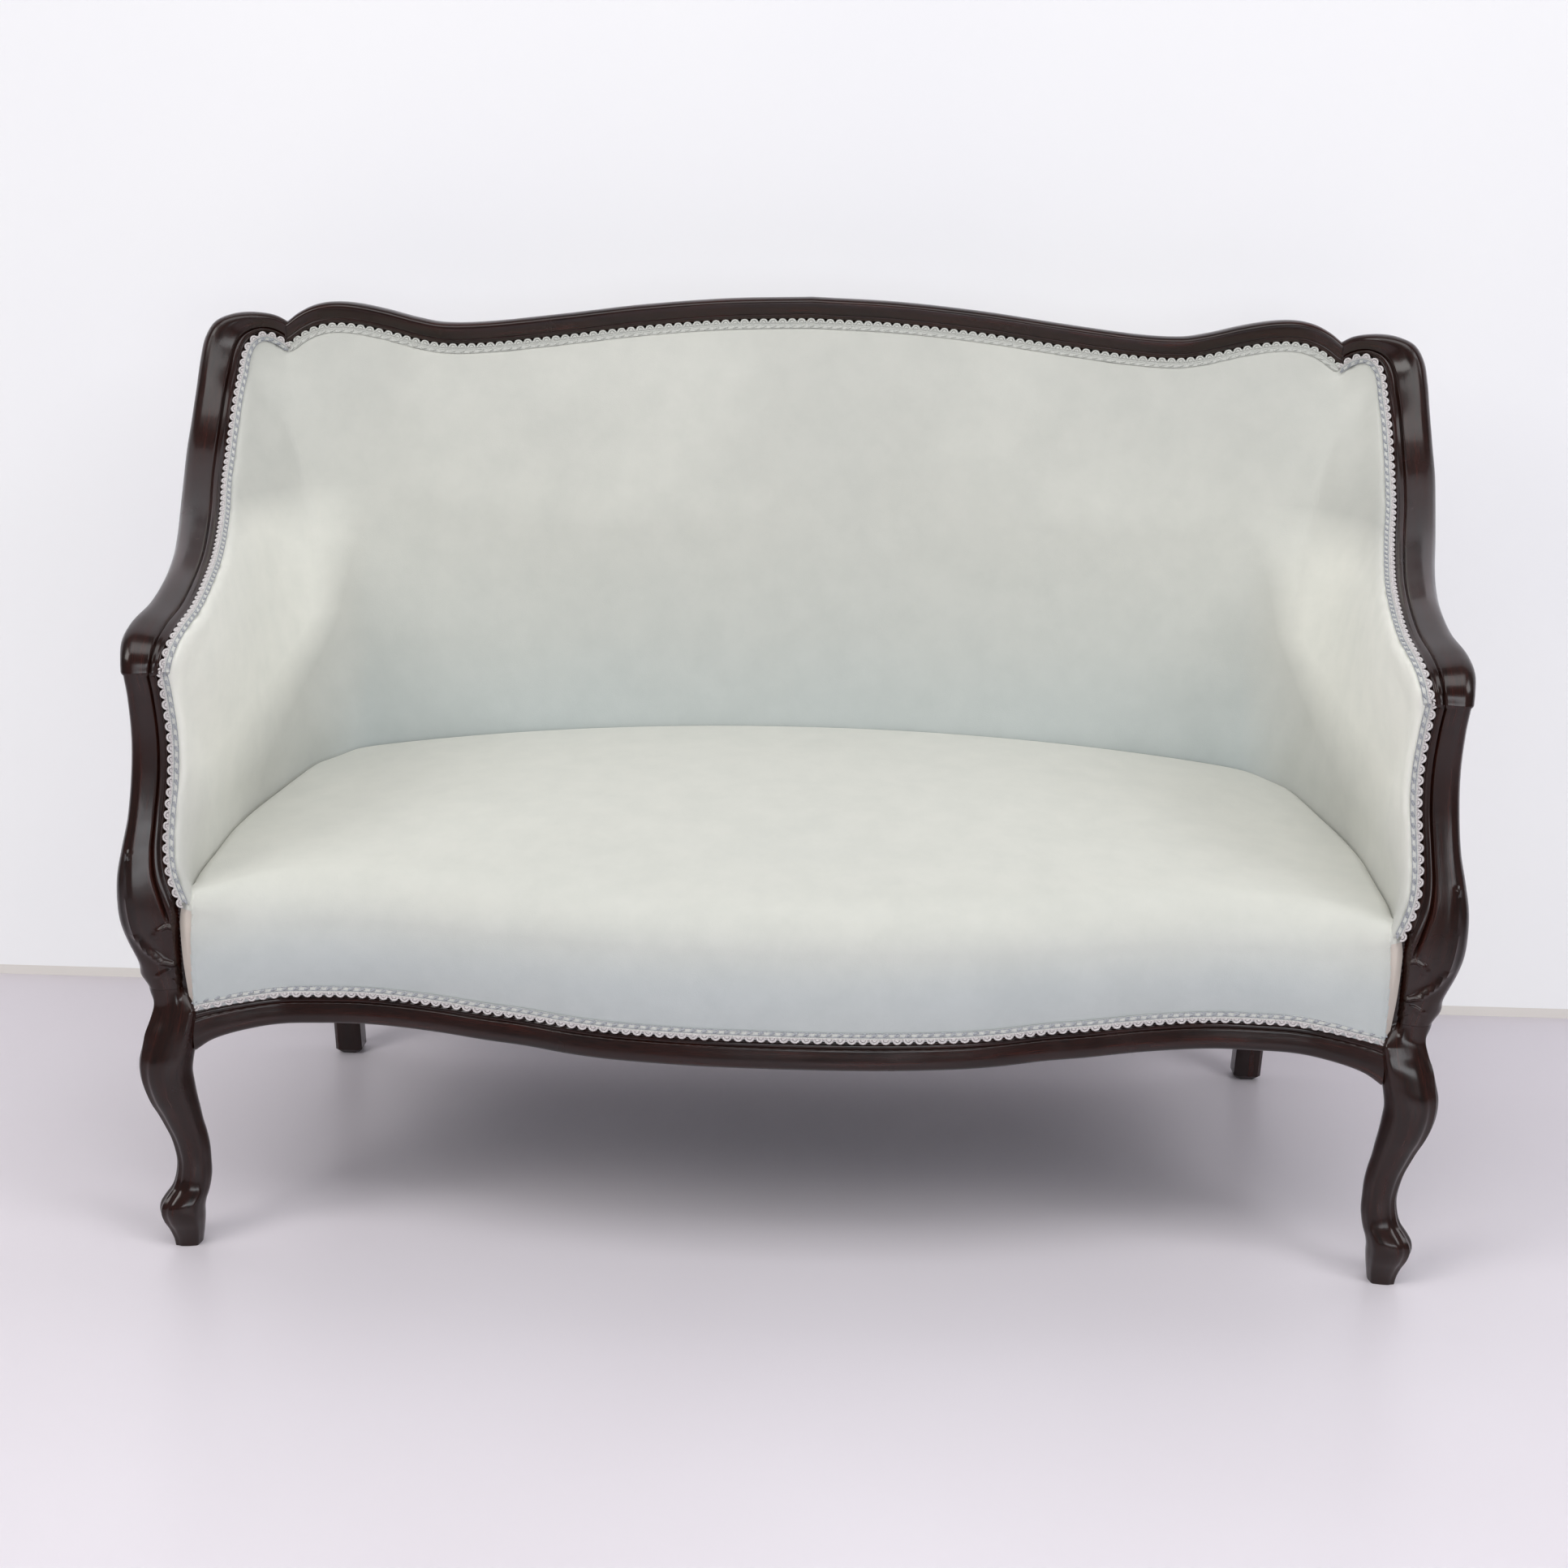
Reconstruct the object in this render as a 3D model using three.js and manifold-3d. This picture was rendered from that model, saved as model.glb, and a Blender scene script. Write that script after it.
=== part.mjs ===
// Cabriole sofa: a two-seat show-wood settee, in millimetres, +Z up, front towards -Y
import * as THREE from 'three';
import { mergeVertices } from 'three/addons/utils/BufferGeometryUtils.js';
import Module from 'manifold-3d';

const wasm = await Module();
wasm.setup();

// Sizes of the frame
const crestHeight = 917.5; // floor to the top of the crest rail at its middle
const crestFall = 39; // from the middle of the crest down to the shoulder notch
const notchHalf = 600; // middle to the notch between crest and wing
const shoulderWidth = 89; // notch out to the outside of the wing
const shoulderRise = 11.5; // notch up to the top of the shoulder
const noseHeight = 586; // floor to the underside of the arm nose
const legSpan = 510; // front foot to rear foot, front to back
const frontFootHalf = 598; // middle to the centre of a front foot
const rearFootHalf = 549; // middle to the centre of a rear foot
const noseSetback = 10; // arm nose behind the front foot's centre
const notchSetback = 43; // notch behind the rear foot's centre
const legTop = 275; // floor to the joint of leg and arm support

// Sizes of the show-wood mouldings
const crestBand = 26; // height of the crest moulding
const crestDepth = 35; // thickness of the crest rail
const armDepth = 28; // thickness of the wing and arm rail
const frontBand = 31.5; // height of the front rail's moulding
const frontProud = 17; // front rail's moulding, from its fillet's bed to the bead's crown
const legBlock = 40; // side of the block where leg, rail and arm support meet

// Sizes of the seat frame
const frontRailHeight = 255; // floor to the front moulding's top edge at the legs
const serpentineReach = 30; // swing of the front rail in plan, either way
const serpentineRise = 6; // swing of the front rail's top edge, up and down
const railTop = 318; // floor to the top of the seat rails
const railTall = 78;
const railThick = 24;
const railRebate = 16; // front rail's upholstered part behind the moulding's bed
const rearLegSize = 32;
const uprightTopDepth = 20; // rear upright, front to back, at the crest
const headDrop = 28.5; // rear upright's head below the notch
const headSetback = 9; // rear upright's head behind the notch
const headInset = 2; // rear upright's head inside the notch
const footKick = 8; // rear foot behind the seat rail
const footRound = 5; // rounded end of the rear foot

// Sizes of the upholstery
const seatCornerRise = 54; // seat rail up to the seat's top at the front corners
const creaseRise = 80; // seat rail up to the seat at the creases of back and arm
const seatCrown = 42; // middle of the seat's rear edge above the creases
const seatSideInset = 13; // inside of an arm, at the seat's front, from the foot's centre
const creaseInset = 29; // crease of back and arm, from the rear foot's centre
const creaseForward = 112; // crease at the seat, in front of the notch
const backFullness = 21; // middle of the back behind its two creases, at the seat
const padDepth = 12;
const padEdge = 3; // stuffing left under the braid
const padSetback = 2.4; // stuffing kept back from the show-wood
const seatFrontCrown = 8; // seat's front edge, middle above corners
const seatSwell = 14; // doming of the seat between front and back
const lumbarSwell = 7; // fullness of the back at half height
const seatRound = 46; // roll of the seat's front edge
const borderSwell = 6; // front border swells between braid and roll
const braidWidth = 11;
const braidThick = 2.6;
const clothThick = 3;
const springWire = 1.9; // radius of the spring wire
const springEndRadius = 44;
const springWaistRadius = 29;
const springCurls = 3;
const springLift = 34; // dome that the springs give the hessian
const webWidth = 50;
const webThick = 1.5;
const fit = 0.3; // clearance between pieces that touch
const overrun = 20; // how far a piece runs into the one that trims it

// Places that several pieces share
const frontLegY = -legSpan / 2;
const rearLegY = legSpan / 2;
const noseY = frontLegY + noseSetback;
const notchY = rearLegY + notchSetback;
const crestLow = crestHeight - crestFall;
const wingRise = crestLow + shoulderRise - noseHeight;
const railHalf = frontFootHalf - legBlock / 2 + 2 * fit;
const railBottom = railTop - railTall;
const railMiddle = (railTop + railBottom) / 2;
const rearRailY = rearLegY - footKick;
const uprightTop = crestLow - headDrop;
const backRake = notchY + headSetback - rearRailY;
const seatSideHalf = frontFootHalf - seatSideInset;
const creaseHalf = rearFootHalf - creaseInset;
const creaseHeight = railTop + creaseRise;
const creaseY = notchY - creaseForward;
const springHalf = creaseHalf - overrun;

// Finishes
const polishedMahogany = { color: 0x2b1611, roughness: 0.22, metalness: 0 };
const plainBeech = { color: 0xb58b5c, roughness: 0.7, metalness: 0 };
const paleVelvet = { color: 0xc3cbc4, roughness: 0.9, metalness: 0 };
const cottonBraid = { color: 0xd8d0d2, roughness: 0.85, metalness: 0 };
const springSteel = { color: 0x8a7a66, roughness: 0.4, metalness: 0.9 };
const juteCloth = { color: 0x9c8157, roughness: 0.95, metalness: 0 };
const blackCotton = { color: 0x2a2a2c, roughness: 0.95, metalness: 0 };

// Section of the show-wood moulding: across from the cloth to the outside, and proud of the back
const mouldShares = [
  [0, 0.05], [0, 0.62], [0.06, 0.74], [0.17, 0.8], [0.28, 0.78], [0.35, 0.7], [0.42, 0.8],
  [0.56, 0.95], [0.72, 1], [0.87, 0.93], [0.97, 0.76], [1, 0.5], [0.96, 0.18], [0.84, 0],
];
const edgeShare = 0.6; // where the outline of a rail lies in its thickness
const bedShare = 0.58; // how proud of the back the cloth meets the wood

// Crest: along from the middle to the notch, and drop from the top
const crestShares = [
  [0, 0], [0.16, 0.09], [0.32, 0.31], [0.48, 0.63], [0.62, 0.88], [0.7, 0.92], [0.75, 0.8],
  [0.81, 0.58], [0.87, 0.42], [0.915, 0.4], [0.95, 0.51], [0.98, 0.74], [1, 0.98],
];

// Wing and arm rail, from the notch down to the nose: out, back, up
const outerShares = [
  [0.005, 1, 0.96], [0.16, 0.984, 0.987], [0.384, 0.956, 1], [0.622, 0.936, 0.993],
  [0.821, 0.923, 0.967], [0.937, 0.912, 0.914], [0.986, 0.892, 0.834], [0.998, 0.855, 0.719],
  [1, 0.811, 0.609], [0.984, 0.762, 0.52], [0.903, 0.683, 0.424], [0.796, 0.595, 0.344],
  [0.649, 0.489, 0.281], [0.516, 0.383, 0.232], [0.405, 0.258, 0.185], [0.387, 0.152, 0.139],
  [0.435, 0.068, 0.106], [0.436, 0.024, 0.073], [0.413, 0.004, 0.033], [0.406, 0, 0],
];
const innerShares = [
  [0.005, 0.995, 0.871], [0.133, 0.98, 0.904], [0.284, 0.963, 0.921], [0.397, 0.949, 0.907],
  [0.463, 0.936, 0.877], [0.492, 0.919, 0.834], [0.489, 0.894, 0.781], [0.485, 0.855, 0.712],
  [0.486, 0.811, 0.609], [0.464, 0.762, 0.52], [0.398, 0.683, 0.424], [0.284, 0.595, 0.344],
  [0.155, 0.489, 0.281], [0.04, 0.383, 0.232], [-0.062, 0.258, 0.185], [-0.112, 0.152, 0.139],
  [-0.107, 0.068, 0.106], [-0.083, 0.024, 0.073], [-0.051, 0.004, 0.033], [-0.028, 0, 0],
];

// Arm support, from the nose down to the leg: fall, then outside, inside, forward, depth of the block
const supportShares = [
  [0, 0.863, 0.013, 0.3, 0.85], [0.084, 0.815, -0.055, 0.375, 0.825],
  [0.209, 0.8, -0.115, 0.425, 0.825], [0.334, 0.85, -0.09, 0.375, 0.85],
  [0.457, 0.94, 0, 0.225, 0.9], [0.55, 1.075, 0.02, 0.05, 0.975],
  [0.63, 1.175, -0.07, -0.1, 1.05], [0.704, 1.195, -0.275, -0.175, 1.1],
  [0.775, 1.165, -0.48, -0.175, 1.125], [0.839, 1.04, -0.57, -0.125, 1.1],
  [0.92, 0.8, -0.63, -0.05, 1.05], [1, 0.6, -0.66, 0, 1],
];

// Cabriole leg, from the joint down to the floor: height, shift of its centre, width, squareness
const legShares = [
  [1, -0.085, 1.07, 1], [0.945, -0.09, 1.03, 1], [0.895, -0.03, 1.1, 0.8],
  [0.844, 0.055, 1.2, 0.5], [0.789, 0.125, 1.25, 0.25], [0.738, 0.2, 1.25, 0.1],
  [0.684, 0.225, 1.2, 0], [0.633, 0.19, 1.17, 0], [0.578, 0.125, 1.1, 0],
  [0.527, 0.04, 1, 0], [0.473, -0.04, 0.91, 0], [0.422, -0.12, 0.86, 0],
  [0.367, -0.175, 0.825, 0], [0.316, -0.195, 0.8, 0], [0.262, -0.175, 0.85, 0],
  [0.225, -0.12, 0.91, 0], [0.196, -0.03, 1.02, 0], [0.171, 0.045, 1.07, 0],
  [0.142, 0.075, 1.06, 0.1], [0.105, 0.05, 0.98, 0.2], [0.069, 0.01, 0.84, 0.3],
  [0.029, -0.013, 0.71, 0.4], [0, -0.013, 0.65, 0.4],
];

// Round of the leg, by turn from its front ridge and by reach
const ridgeShares = [
  [0, 1.12], [0.033, 1.03], [0.067, 1.07], [0.125, 1], [0.194, 0.98], [0.25, 1.03],
  [0.311, 0.98], [0.375, 1], [0.5, 1.05],
];

// Front rail, from the middle to the leg: along, and swing of the serpentine
const serpentineShares = [
  [0, -1], [0.09, -0.98], [0.162, -0.93], [0.233, -0.83], [0.3, -0.69], [0.364, -0.46],
  [0.436, -0.1], [0.509, 0.17], [0.583, 0.5], [0.655, 0.75], [0.728, 0.9], [0.797, 0.88],
  [0.864, 0.77], [0.925, 0.4], [0.97, 0.05], [1, -0.2],
];

// Front moulding, from the middle to the leg: along, and height where its lower edge sweeps into the leg
const frontSweepShares = [[0, 1], [0.88, 1], [0.95, 1.09], [1, 1.3]];

// Seat plan along the arm, from the front to the crease: back, and inset from the front
const sidePlanShares = [
  [0, 0], [0.35, 0.005], [0.55, 0.06], [0.7, 0.2], [0.82, 0.42], [0.92, 0.7], [1, 1],
];

// Reads a table of pairs with a smooth curve through its rows
function smooth(table, at) {
  const last = table.length - 1;
  const found = table.findIndex((row) => row[0] > at);
  const next = found < 0 ? last : Math.max(found, 1);
  const [x1, y1] = table[next - 1];
  const [x2, y2] = table[next];
  const [x0, y0] = table[Math.max(next - 2, 0)];
  const [x3, y3] = table[Math.min(next + 1, last)];
  const span = x2 - x1;
  const slope1 = next > 1 ? (y2 - y0) / (x2 - x0) : (y2 - y1) / span;
  const slope2 = next < last ? (y3 - y1) / (x3 - x1) : (y2 - y1) / span;
  const t = THREE.MathUtils.clamp((at - x1) / span, 0, 1);
  const bend = t * (1 - t) * ((1 - t) * (slope1 * span - y2 + y1) - t * (slope2 * span - y2 + y1));
  return y1 + (y2 - y1) * t + bend;
}

function mix(low, high, share) {
  return low + (high - low) * share;
}

function shares(count) {
  return Array.from({ length: count + 1 }, (unused, n) => n / count);
}

// A curve through places given as shares
function curveThrough(table, place) {
  return new THREE.CatmullRomCurve3(table.map(place));
}

// Normal of a ring of points that need not be flat
function ringNormal(ring) {
  const normal = new THREE.Vector3();
  ring.forEach((point, n) => {
    const after = ring[(n + 1) % ring.length];
    normal.add(new THREE.Vector3().crossVectors(point, after));
  });
  return normal.normalize();
}

// Triangles that close one end of a loft, in the order of its ring or against it
function capFaces(ring, first, against) {
  const normal = ringNormal(ring);
  const along = new THREE.Vector3().subVectors(ring[1], ring[0]).cross(normal).normalize();
  const across = new THREE.Vector3().crossVectors(normal, along);
  const flat = ring.map((point) => new THREE.Vector2(point.dot(along), point.dot(across)));
  const faces = THREE.ShapeUtils.triangulateShape(flat, []);
  const area = faces.reduce((sum, [a, b, c]) => {
    return sum + THREE.ShapeUtils.area([flat[a], flat[b], flat[c]]);
  }, 0);
  return faces.flatMap(([a, b, c]) => {
    const face = area < 0 !== against ? [a, c, b] : [a, b, c];
    return face.map((index) => first + index);
  });
}

// The same for a ring made of two rows that run side by side
function stripFaces(size, first, against) {
  const faces = [];
  for (let n = 0; n < size / 2 - 1; n += 1) {
    const opposite = size - 1 - n;
    const quad = [n, n + 1, opposite, n + 1, opposite - 1, opposite].map((index) => first + index);
    faces.push(...(against ? quad.reverse() : quad));
  }
  return faces;
}

// Six times the volume inside the faces, negative where they face inwards
function sixVolumes(points, faces) {
  let sum = 0;
  for (let n = 0; n < faces.length; n += 3) {
    const [a, b, c] = faces.slice(n, n + 3).map((index) => points[index]);
    sum += a.dot(new THREE.Vector3().crossVectors(b, c));
  }
  return sum;
}

// A closed body through a row of rings with equal numbers of points
function loft(rings, paired = false) {
  const size = rings[0].length;
  const points = rings.flat();
  const last = points.length - size;
  const faces = [];
  for (let start = 0; start < last; start += size) {
    for (let n = 0; n < size; n += 1) {
      const a = start + n;
      const b = start + ((n + 1) % size);
      faces.push(a, b, b + size, a, b + size, a + size);
    }
  }
  if (paired) {
    faces.push(...stripFaces(size, 0, true), ...stripFaces(size, last, false));
  } else {
    faces.push(...capFaces(rings[0], 0, true), ...capFaces(rings[rings.length - 1], last, false));
  }
  const geometry = new THREE.BufferGeometry().setFromPoints(points);
  geometry.setIndex(sixVolumes(points, faces) < 0 ? faces.reverse() : faces);
  return geometry;
}

// A closed body between a front sheet and a back sheet of the same grid
function slab(front, back) {
  const rings = front.map((row, n) => [...row, ...[...back[n]].reverse()]);
  return loft(rings, true);
}

// A closed solid for joining and cutting
function solid(geometry) {
  const merged = mergeVertices(geometry, fit / 100);
  return new wasm.Manifold(new wasm.Mesh({
    numProp: 3,
    vertProperties: merged.attributes.position.array,
    triVerts: new Uint32Array(merged.index.array),
  }));
}

function geometryOf(body) {
  const mesh = body.getMesh();
  const geometry = new THREE.BufferGeometry();
  geometry.setAttribute('position', new THREE.BufferAttribute(mesh.vertProperties, 3));
  geometry.setIndex(new THREE.BufferAttribute(mesh.triVerts, 1));
  return geometry;
}

function trimmed(geometry, cutters) {
  const body = cutters.reduce((left, cutter) => left.subtract(solid(cutter)), solid(geometry));
  return geometryOf(body);
}

function mirrored(geometry) {
  const flipped = geometry.clone().applyMatrix4(new THREE.Matrix4().makeScale(-1, 1, 1));
  const index = Array.from(flipped.index.array).reverse();
  flipped.setIndex(index);
  return flipped;
}

// Corners of an oblong, as shares of its two sides
const cornerShares = [[-0.5, -0.5], [0.5, -0.5], [0.5, 0.5], [-0.5, 0.5]];

// A straight bar of four corners between two ends, each given by its centre
function bar(start, end, width, height, side) {
  const along = new THREE.Vector3().subVectors(end, start).normalize();
  const up = new THREE.Vector3().crossVectors(along, side).normalize();
  const across = new THREE.Vector3().crossVectors(up, along);
  const ring = (centre) => cornerShares.map(([a, b]) => centre.clone()
    .addScaledVector(across, a * width)
    .addScaledVector(up, b * height));
  return loft([ring(start), ring(end)]);
}

// A frame on a moulded rail: edges, the way across and the way proud
function railFrame(outer, inner, before, after) {
  const along = new THREE.Vector3().subVectors(after, before).normalize();
  const across = new THREE.Vector3().subVectors(outer, inner);
  const width = across.length();
  across.divideScalar(width);
  const proud = new THREE.Vector3().crossVectors(along, across).normalize();
  return { inner, across, proud, width };
}

// One ring of the moulding on a frame, grown all round where a neighbour is trimmed by it
function mouldRing(frame, depth, grow = 0) {
  return mouldShares.map(([over, lift]) => frame.inner.clone()
    .addScaledVector(frame.across, over * (frame.width + 2 * grow) - grow)
    .addScaledVector(frame.proud, (lift - edgeShare) * depth + (2 * lift - 1) * grow));
}

// A place on the cloth's bed beside the inner edge of a rail
function bedPoint(frame, depth, away, lift) {
  return frame.inner.clone()
    .addScaledVector(frame.across, -away)
    .addScaledVector(frame.proud, (bedShare - edgeShare) * depth + lift);
}

// One ring of a flat braid lying on the bed
function braidRing(frame, depth, clear = fit) {
  const near = fit;
  const far = fit + braidWidth;
  const low = padEdge + clear;
  const high = low + braidThick;
  return [[near, low], [far, low], [far, high], [near, high]]
    .map(([away, lift]) => bedPoint(frame, depth, away, lift));
}

// Bends of the rear upright, sideways and backwards
const splayShare = 1.3;
const rakeShare = 1.15;

// Rear upright: centre and size at a height
function uprightAt(height) {
  const seatShare = height / railMiddle;
  const backShare = Math.max(0, (height - railMiddle) / (uprightTop - railMiddle));
  const kick = footKick * Math.max(0, 1 - seatShare) ** 2;
  const x = mix(rearFootHalf, notchHalf - headInset, (height / uprightTop) ** splayShare);
  const y = rearRailY + kick + backRake * backShare ** rakeShare;
  const depth = mix(rearLegSize, uprightTopDepth, Math.min(1, backShare));
  return { x, y, depth };
}

// Plane of the back frame's front and back, at a height
function frameFront(height) {
  const { y, depth } = uprightAt(height);
  return y - depth / 2;
}

function frameBack(height) {
  const { y, depth } = uprightAt(height);
  return y + depth / 2;
}

// Heights of the rings of all that follows the curve of the back
function backHeights(low, high) {
  const between = shares(6).map((share) => mix(railMiddle, uprightTop, share));
  return [low, ...between.filter((z) => z > low + railThick && z < high - railThick), high];
}

// Top of the crest rail at a distance from the middle
function crestTopAt(x) {
  return crestHeight - crestFall * smooth(crestShares, Math.min(1, Math.abs(x) / notchHalf));
}

const crestLean = Math.atan(backRake / (uprightTop - railMiddle));
const slopeStep = notchHalf / 100;
const slopeShare = 0.5; // how far the moulding keeps its height on a slope

function crestFrame(x) {
  const slope = (crestTopAt(x + slopeStep) - crestTopAt(x - slopeStep)) / (2 * slopeStep);
  const tall = crestBand / Math.cos(Math.atan(slope * slopeShare));
  const up = new THREE.Vector3(0, Math.sin(crestLean), Math.cos(crestLean));
  const proud = new THREE.Vector3(0, -Math.cos(crestLean), Math.sin(crestLean));
  const top = crestTopAt(x);
  const z = top - tall * Math.cos(crestLean);
  const y = frameBack(z) - edgeShare * crestDepth - webThick;
  return { inner: new THREE.Vector3(x, y, z), across: up, proud, width: tall };
}

function crestStations(grow = 0) {
  const end = notchHalf - fit / 2 + grow;
  const half = crestShares.flatMap(([along], n) => {
    const next = crestShares[n + 1];
    return next && next[0] - along > 0.05 ? [along, (along + next[0]) / 2] : [along];
  });
  const right = half.map((along) => along * end);
  return [...right.slice(1).reverse().map((x) => -x), ...right];
}

function crestRail(grow = 0) {
  return loft(crestStations(grow).map((x) => mouldRing(crestFrame(x), crestDepth, grow)));
}

// Wing and arm rail
function wingPlace([out, back, up]) {
  const x = mix(frontFootHalf, notchHalf, back) + out * shoulderWidth;
  return new THREE.Vector3(x, mix(noseY, notchY, back), noseHeight + up * wingRise);
}

const wingOuter = curveThrough(outerShares, wingPlace);
const wingInner = curveThrough(innerShares, wingPlace);

function wingMiddle(along) {
  const share = THREE.MathUtils.clamp(along, 0, 1);
  return wingOuter.getPoint(share).add(wingInner.getPoint(share)).multiplyScalar(0.5);
}

const wingShare = 0.01; // part of the rail over which its direction is measured

// The rail leaves the notch square to the crest and meets the arm support from above
function wingFrame(along) {
  const place = wingMiddle(along);
  const outer = wingOuter.getPoint(along);
  const inner = wingInner.getPoint(along);
  const behind = along < wingShare ? place.clone().setX(0) : wingMiddle(along - wingShare);
  const ahead = along > 1 - wingShare ? place.clone().setZ(0) : wingMiddle(along + wingShare);
  return railFrame(outer, inner, behind, ahead);
}

// Stations along the wing and arm rail, closer round the shoulder and the nose
const wingStepShares = [
  0, 0.025, 0.05, 0.08, 0.115, 0.15, 0.185, 0.22, 0.25, 0.28, 0.33, 0.38, 0.43, 0.474, 0.526,
  0.58, 0.63, 0.69, 0.75, 0.81, 0.86, 0.885, 0.905, 0.928, 0.95, 0.975, 1,
];

function armRailBody(grow) {
  const rings = wingStepShares.map((along) => mouldRing(wingFrame(along), armDepth, grow));
  rings[0].forEach((point) => point.setX(notchHalf + fit / 2 - grow));
  rings[rings.length - 1].forEach((point) => point.setZ(point.z - grow));
  return loft(rings);
}

function armRail() {
  return trimmed(armRailBody(0), [crestRail(fit)]);
}

// Arm support: rows from the nose to the leg
function supportPlace(row) {
  const [fall, outside, inside, forward, depth] = row;
  const z = mix(noseHeight - fit, legTop + fit, fall);
  const y = frontLegY + forward * legBlock;
  const outer = new THREE.Vector3(frontFootHalf + outside * legBlock, y, z);
  const inner = new THREE.Vector3(frontFootHalf + inside * legBlock, y, z);
  return { outer, inner, depth: depth * legBlock };
}

function supportAt(fall) {
  const column = (n) => smooth(supportShares.map((row) => [row[0], row[n]]), fall);
  return supportPlace([fall, column(1), column(2), column(3), column(4)]);
}

function supportFrame(fall) {
  const { outer, inner, depth } = supportAt(fall);
  const width = outer.x - inner.x;
  const across = new THREE.Vector3(1, 0, 0);
  const proud = new THREE.Vector3(0, -1, 0);
  return { inner, across, proud, width, depth };
}

const supportSteps = 14;

function armSupportBody(grow) {
  const rings = shares(supportSteps).map((fall) => {
    const frame = supportFrame(fall);
    return mouldRing(frame, frame.depth, grow);
  });
  rings[0].forEach((point) => point.setZ(point.z + grow));
  rings[rings.length - 1].forEach((point) => point.setZ(point.z - grow));
  return loft(rings);
}

function armSupport() {
  return trimmed(armSupportBody(0), [armRailBody(fit)]);
}

// The square top of the leg: half its side, and its corners' reach where they are worn
const blockShare = 0.97;
const blockCornerShare = 1.3;

// Cabriole front leg: its section bows out along the diagonal between front and side
function legRing(row, grow) {
  const [height, shift, width, square] = row;
  const reach = (width * legBlock) / 2 + grow;
  const centreX = frontFootHalf + shift * legBlock;
  const centreY = frontLegY - shift * legBlock;
  const half = ridgeShares.map(([turn, share]) => {
    const angle = turn * 2 * Math.PI;
    const side = angle - Math.PI / 4;
    const flat = Math.max(Math.abs(Math.cos(side)), Math.abs(Math.sin(side)));
    return [angle, mix(share, Math.min(blockCornerShare, blockShare / flat), square)];
  });
  const back = half.slice(1, -1).reverse().map(([angle, share]) => [-angle, share]);
  return [...half, ...back].map(([angle, share]) => {
    const turned = angle - Math.PI / 4;
    const x = centreX + reach * share * Math.cos(turned);
    const y = centreY + reach * share * Math.sin(turned);
    return new THREE.Vector3(x, y, height * legTop);
  });
}

function frontLeg(grow = 0) {
  const rings = legShares.map((row) => legRing(row, grow));
  rings[0].forEach((point) => point.setZ(point.z + grow));
  return loft(rings);
}

// Front rail: bed line of the serpentine at a distance from the middle
function frontAt(x) {
  const swing = smooth(serpentineShares, Math.abs(x) / railHalf);
  return { y: frontLegY + swing * serpentineReach, z: frontRailHeight + swing * serpentineRise };
}

const frontBedShare = 0.62; // how proud of its back the front moulding meets the cloth

function frontRailRing(x) {
  const { y, z } = frontAt(x);
  const band = frontBand * smooth(frontSweepShares, Math.abs(x) / railHalf);
  const face = mouldShares.slice(1, -1);
  const back = railRebate + railThick;
  const outline = [
    ...face.map(([over, lift]) => [(frontBedShare - lift) * frontProud, -over * band]),
    [railRebate, -band],
    [railRebate, railBottom - z],
    [back, railBottom - z],
    [back, railTop - z],
    [railRebate, railTop - z],
    [railRebate, 0],
  ];
  return outline.map(([deep, up]) => new THREE.Vector3(x, y + deep, z + up));
}

const frontStepShares = [0, 0.09, 0.18, 0.27, 0.36, 0.45, 0.54, 0.63, 0.72, 0.8, 0.87, 0.94, 1];

function frontStations() {
  const right = frontStepShares.map((along) => along * (railHalf - 2 * fit));
  return [...right.slice(1).reverse().map((x) => -x), ...right];
}

// Leg and arm support of both sides, to trim what meets them in front
function frontCutters() {
  const right = [frontLeg(fit), armSupportBody(fit)];
  return [...right, ...right.map(mirrored)];
}

function frontSeatRail() {
  return trimmed(loft(frontStations().map(frontRailRing)), frontCutters());
}

// Frame of the cloth's bed along the front rail, from the right to the left
function frontFrame(x) {
  const { y, z } = frontAt(x);
  const across = new THREE.Vector3(0, 0, -1);
  const proud = new THREE.Vector3(0, -1, 0);
  return { inner: new THREE.Vector3(x, y, z), across, proud, width: frontBand };
}

// Rear leg and back upright in one piece
function uprightRing(height, grow) {
  const { x, y, depth } = uprightAt(height);
  const worn = footRound * Math.max(0, 1 - height / footRound) ** 2;
  const wide = rearLegSize / 2 + grow - worn;
  const deep = depth / 2 + grow - worn;
  const cut = rearLegSize / 8;
  const corners = [[1, 1], [-1, 1], [-1, -1], [1, -1]];
  return corners.flatMap(([a, b]) => {
    const onSide = [a * wide, b * (deep - cut)];
    const onFace = [a * (wide - cut), b * deep];
    return a === b ? [onSide, onFace] : [onFace, onSide];
  }).map(([dx, dy]) => new THREE.Vector3(x + dx, y + dy, height));
}

const uprightHead = uprightTop + crestBand / 3; // runs into the joint of crest and wing
const lowerLegShares = [0, 0.02, 0.045, 0.45, 0.7]; // rings of the leg, from the floor to the rails

function uprightBody(grow) {
  const leg = lowerLegShares.map((share) => share * railMiddle);
  return loft([...leg, ...backHeights(railMiddle, uprightHead)].map((height) => uprightRing(height, grow)));
}

function rearUpright() {
  return trimmed(uprightBody(0), [crestRail(fit), armRailBody(fit)]);
}

function uprightCutters() {
  const cutter = uprightBody(fit);
  return [cutter, mirrored(cutter)];
}

// Straight rails of the seat and back frames
function rearSeatRail() {
  const { x, y } = uprightAt(railMiddle);
  const left = new THREE.Vector3(-x, y, railMiddle);
  const right = new THREE.Vector3(x, y, railMiddle);
  const rail = bar(left, right, railThick, railTop - railBottom, new THREE.Vector3(0, 1, 0));
  return trimmed(rail, uprightCutters());
}

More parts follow.
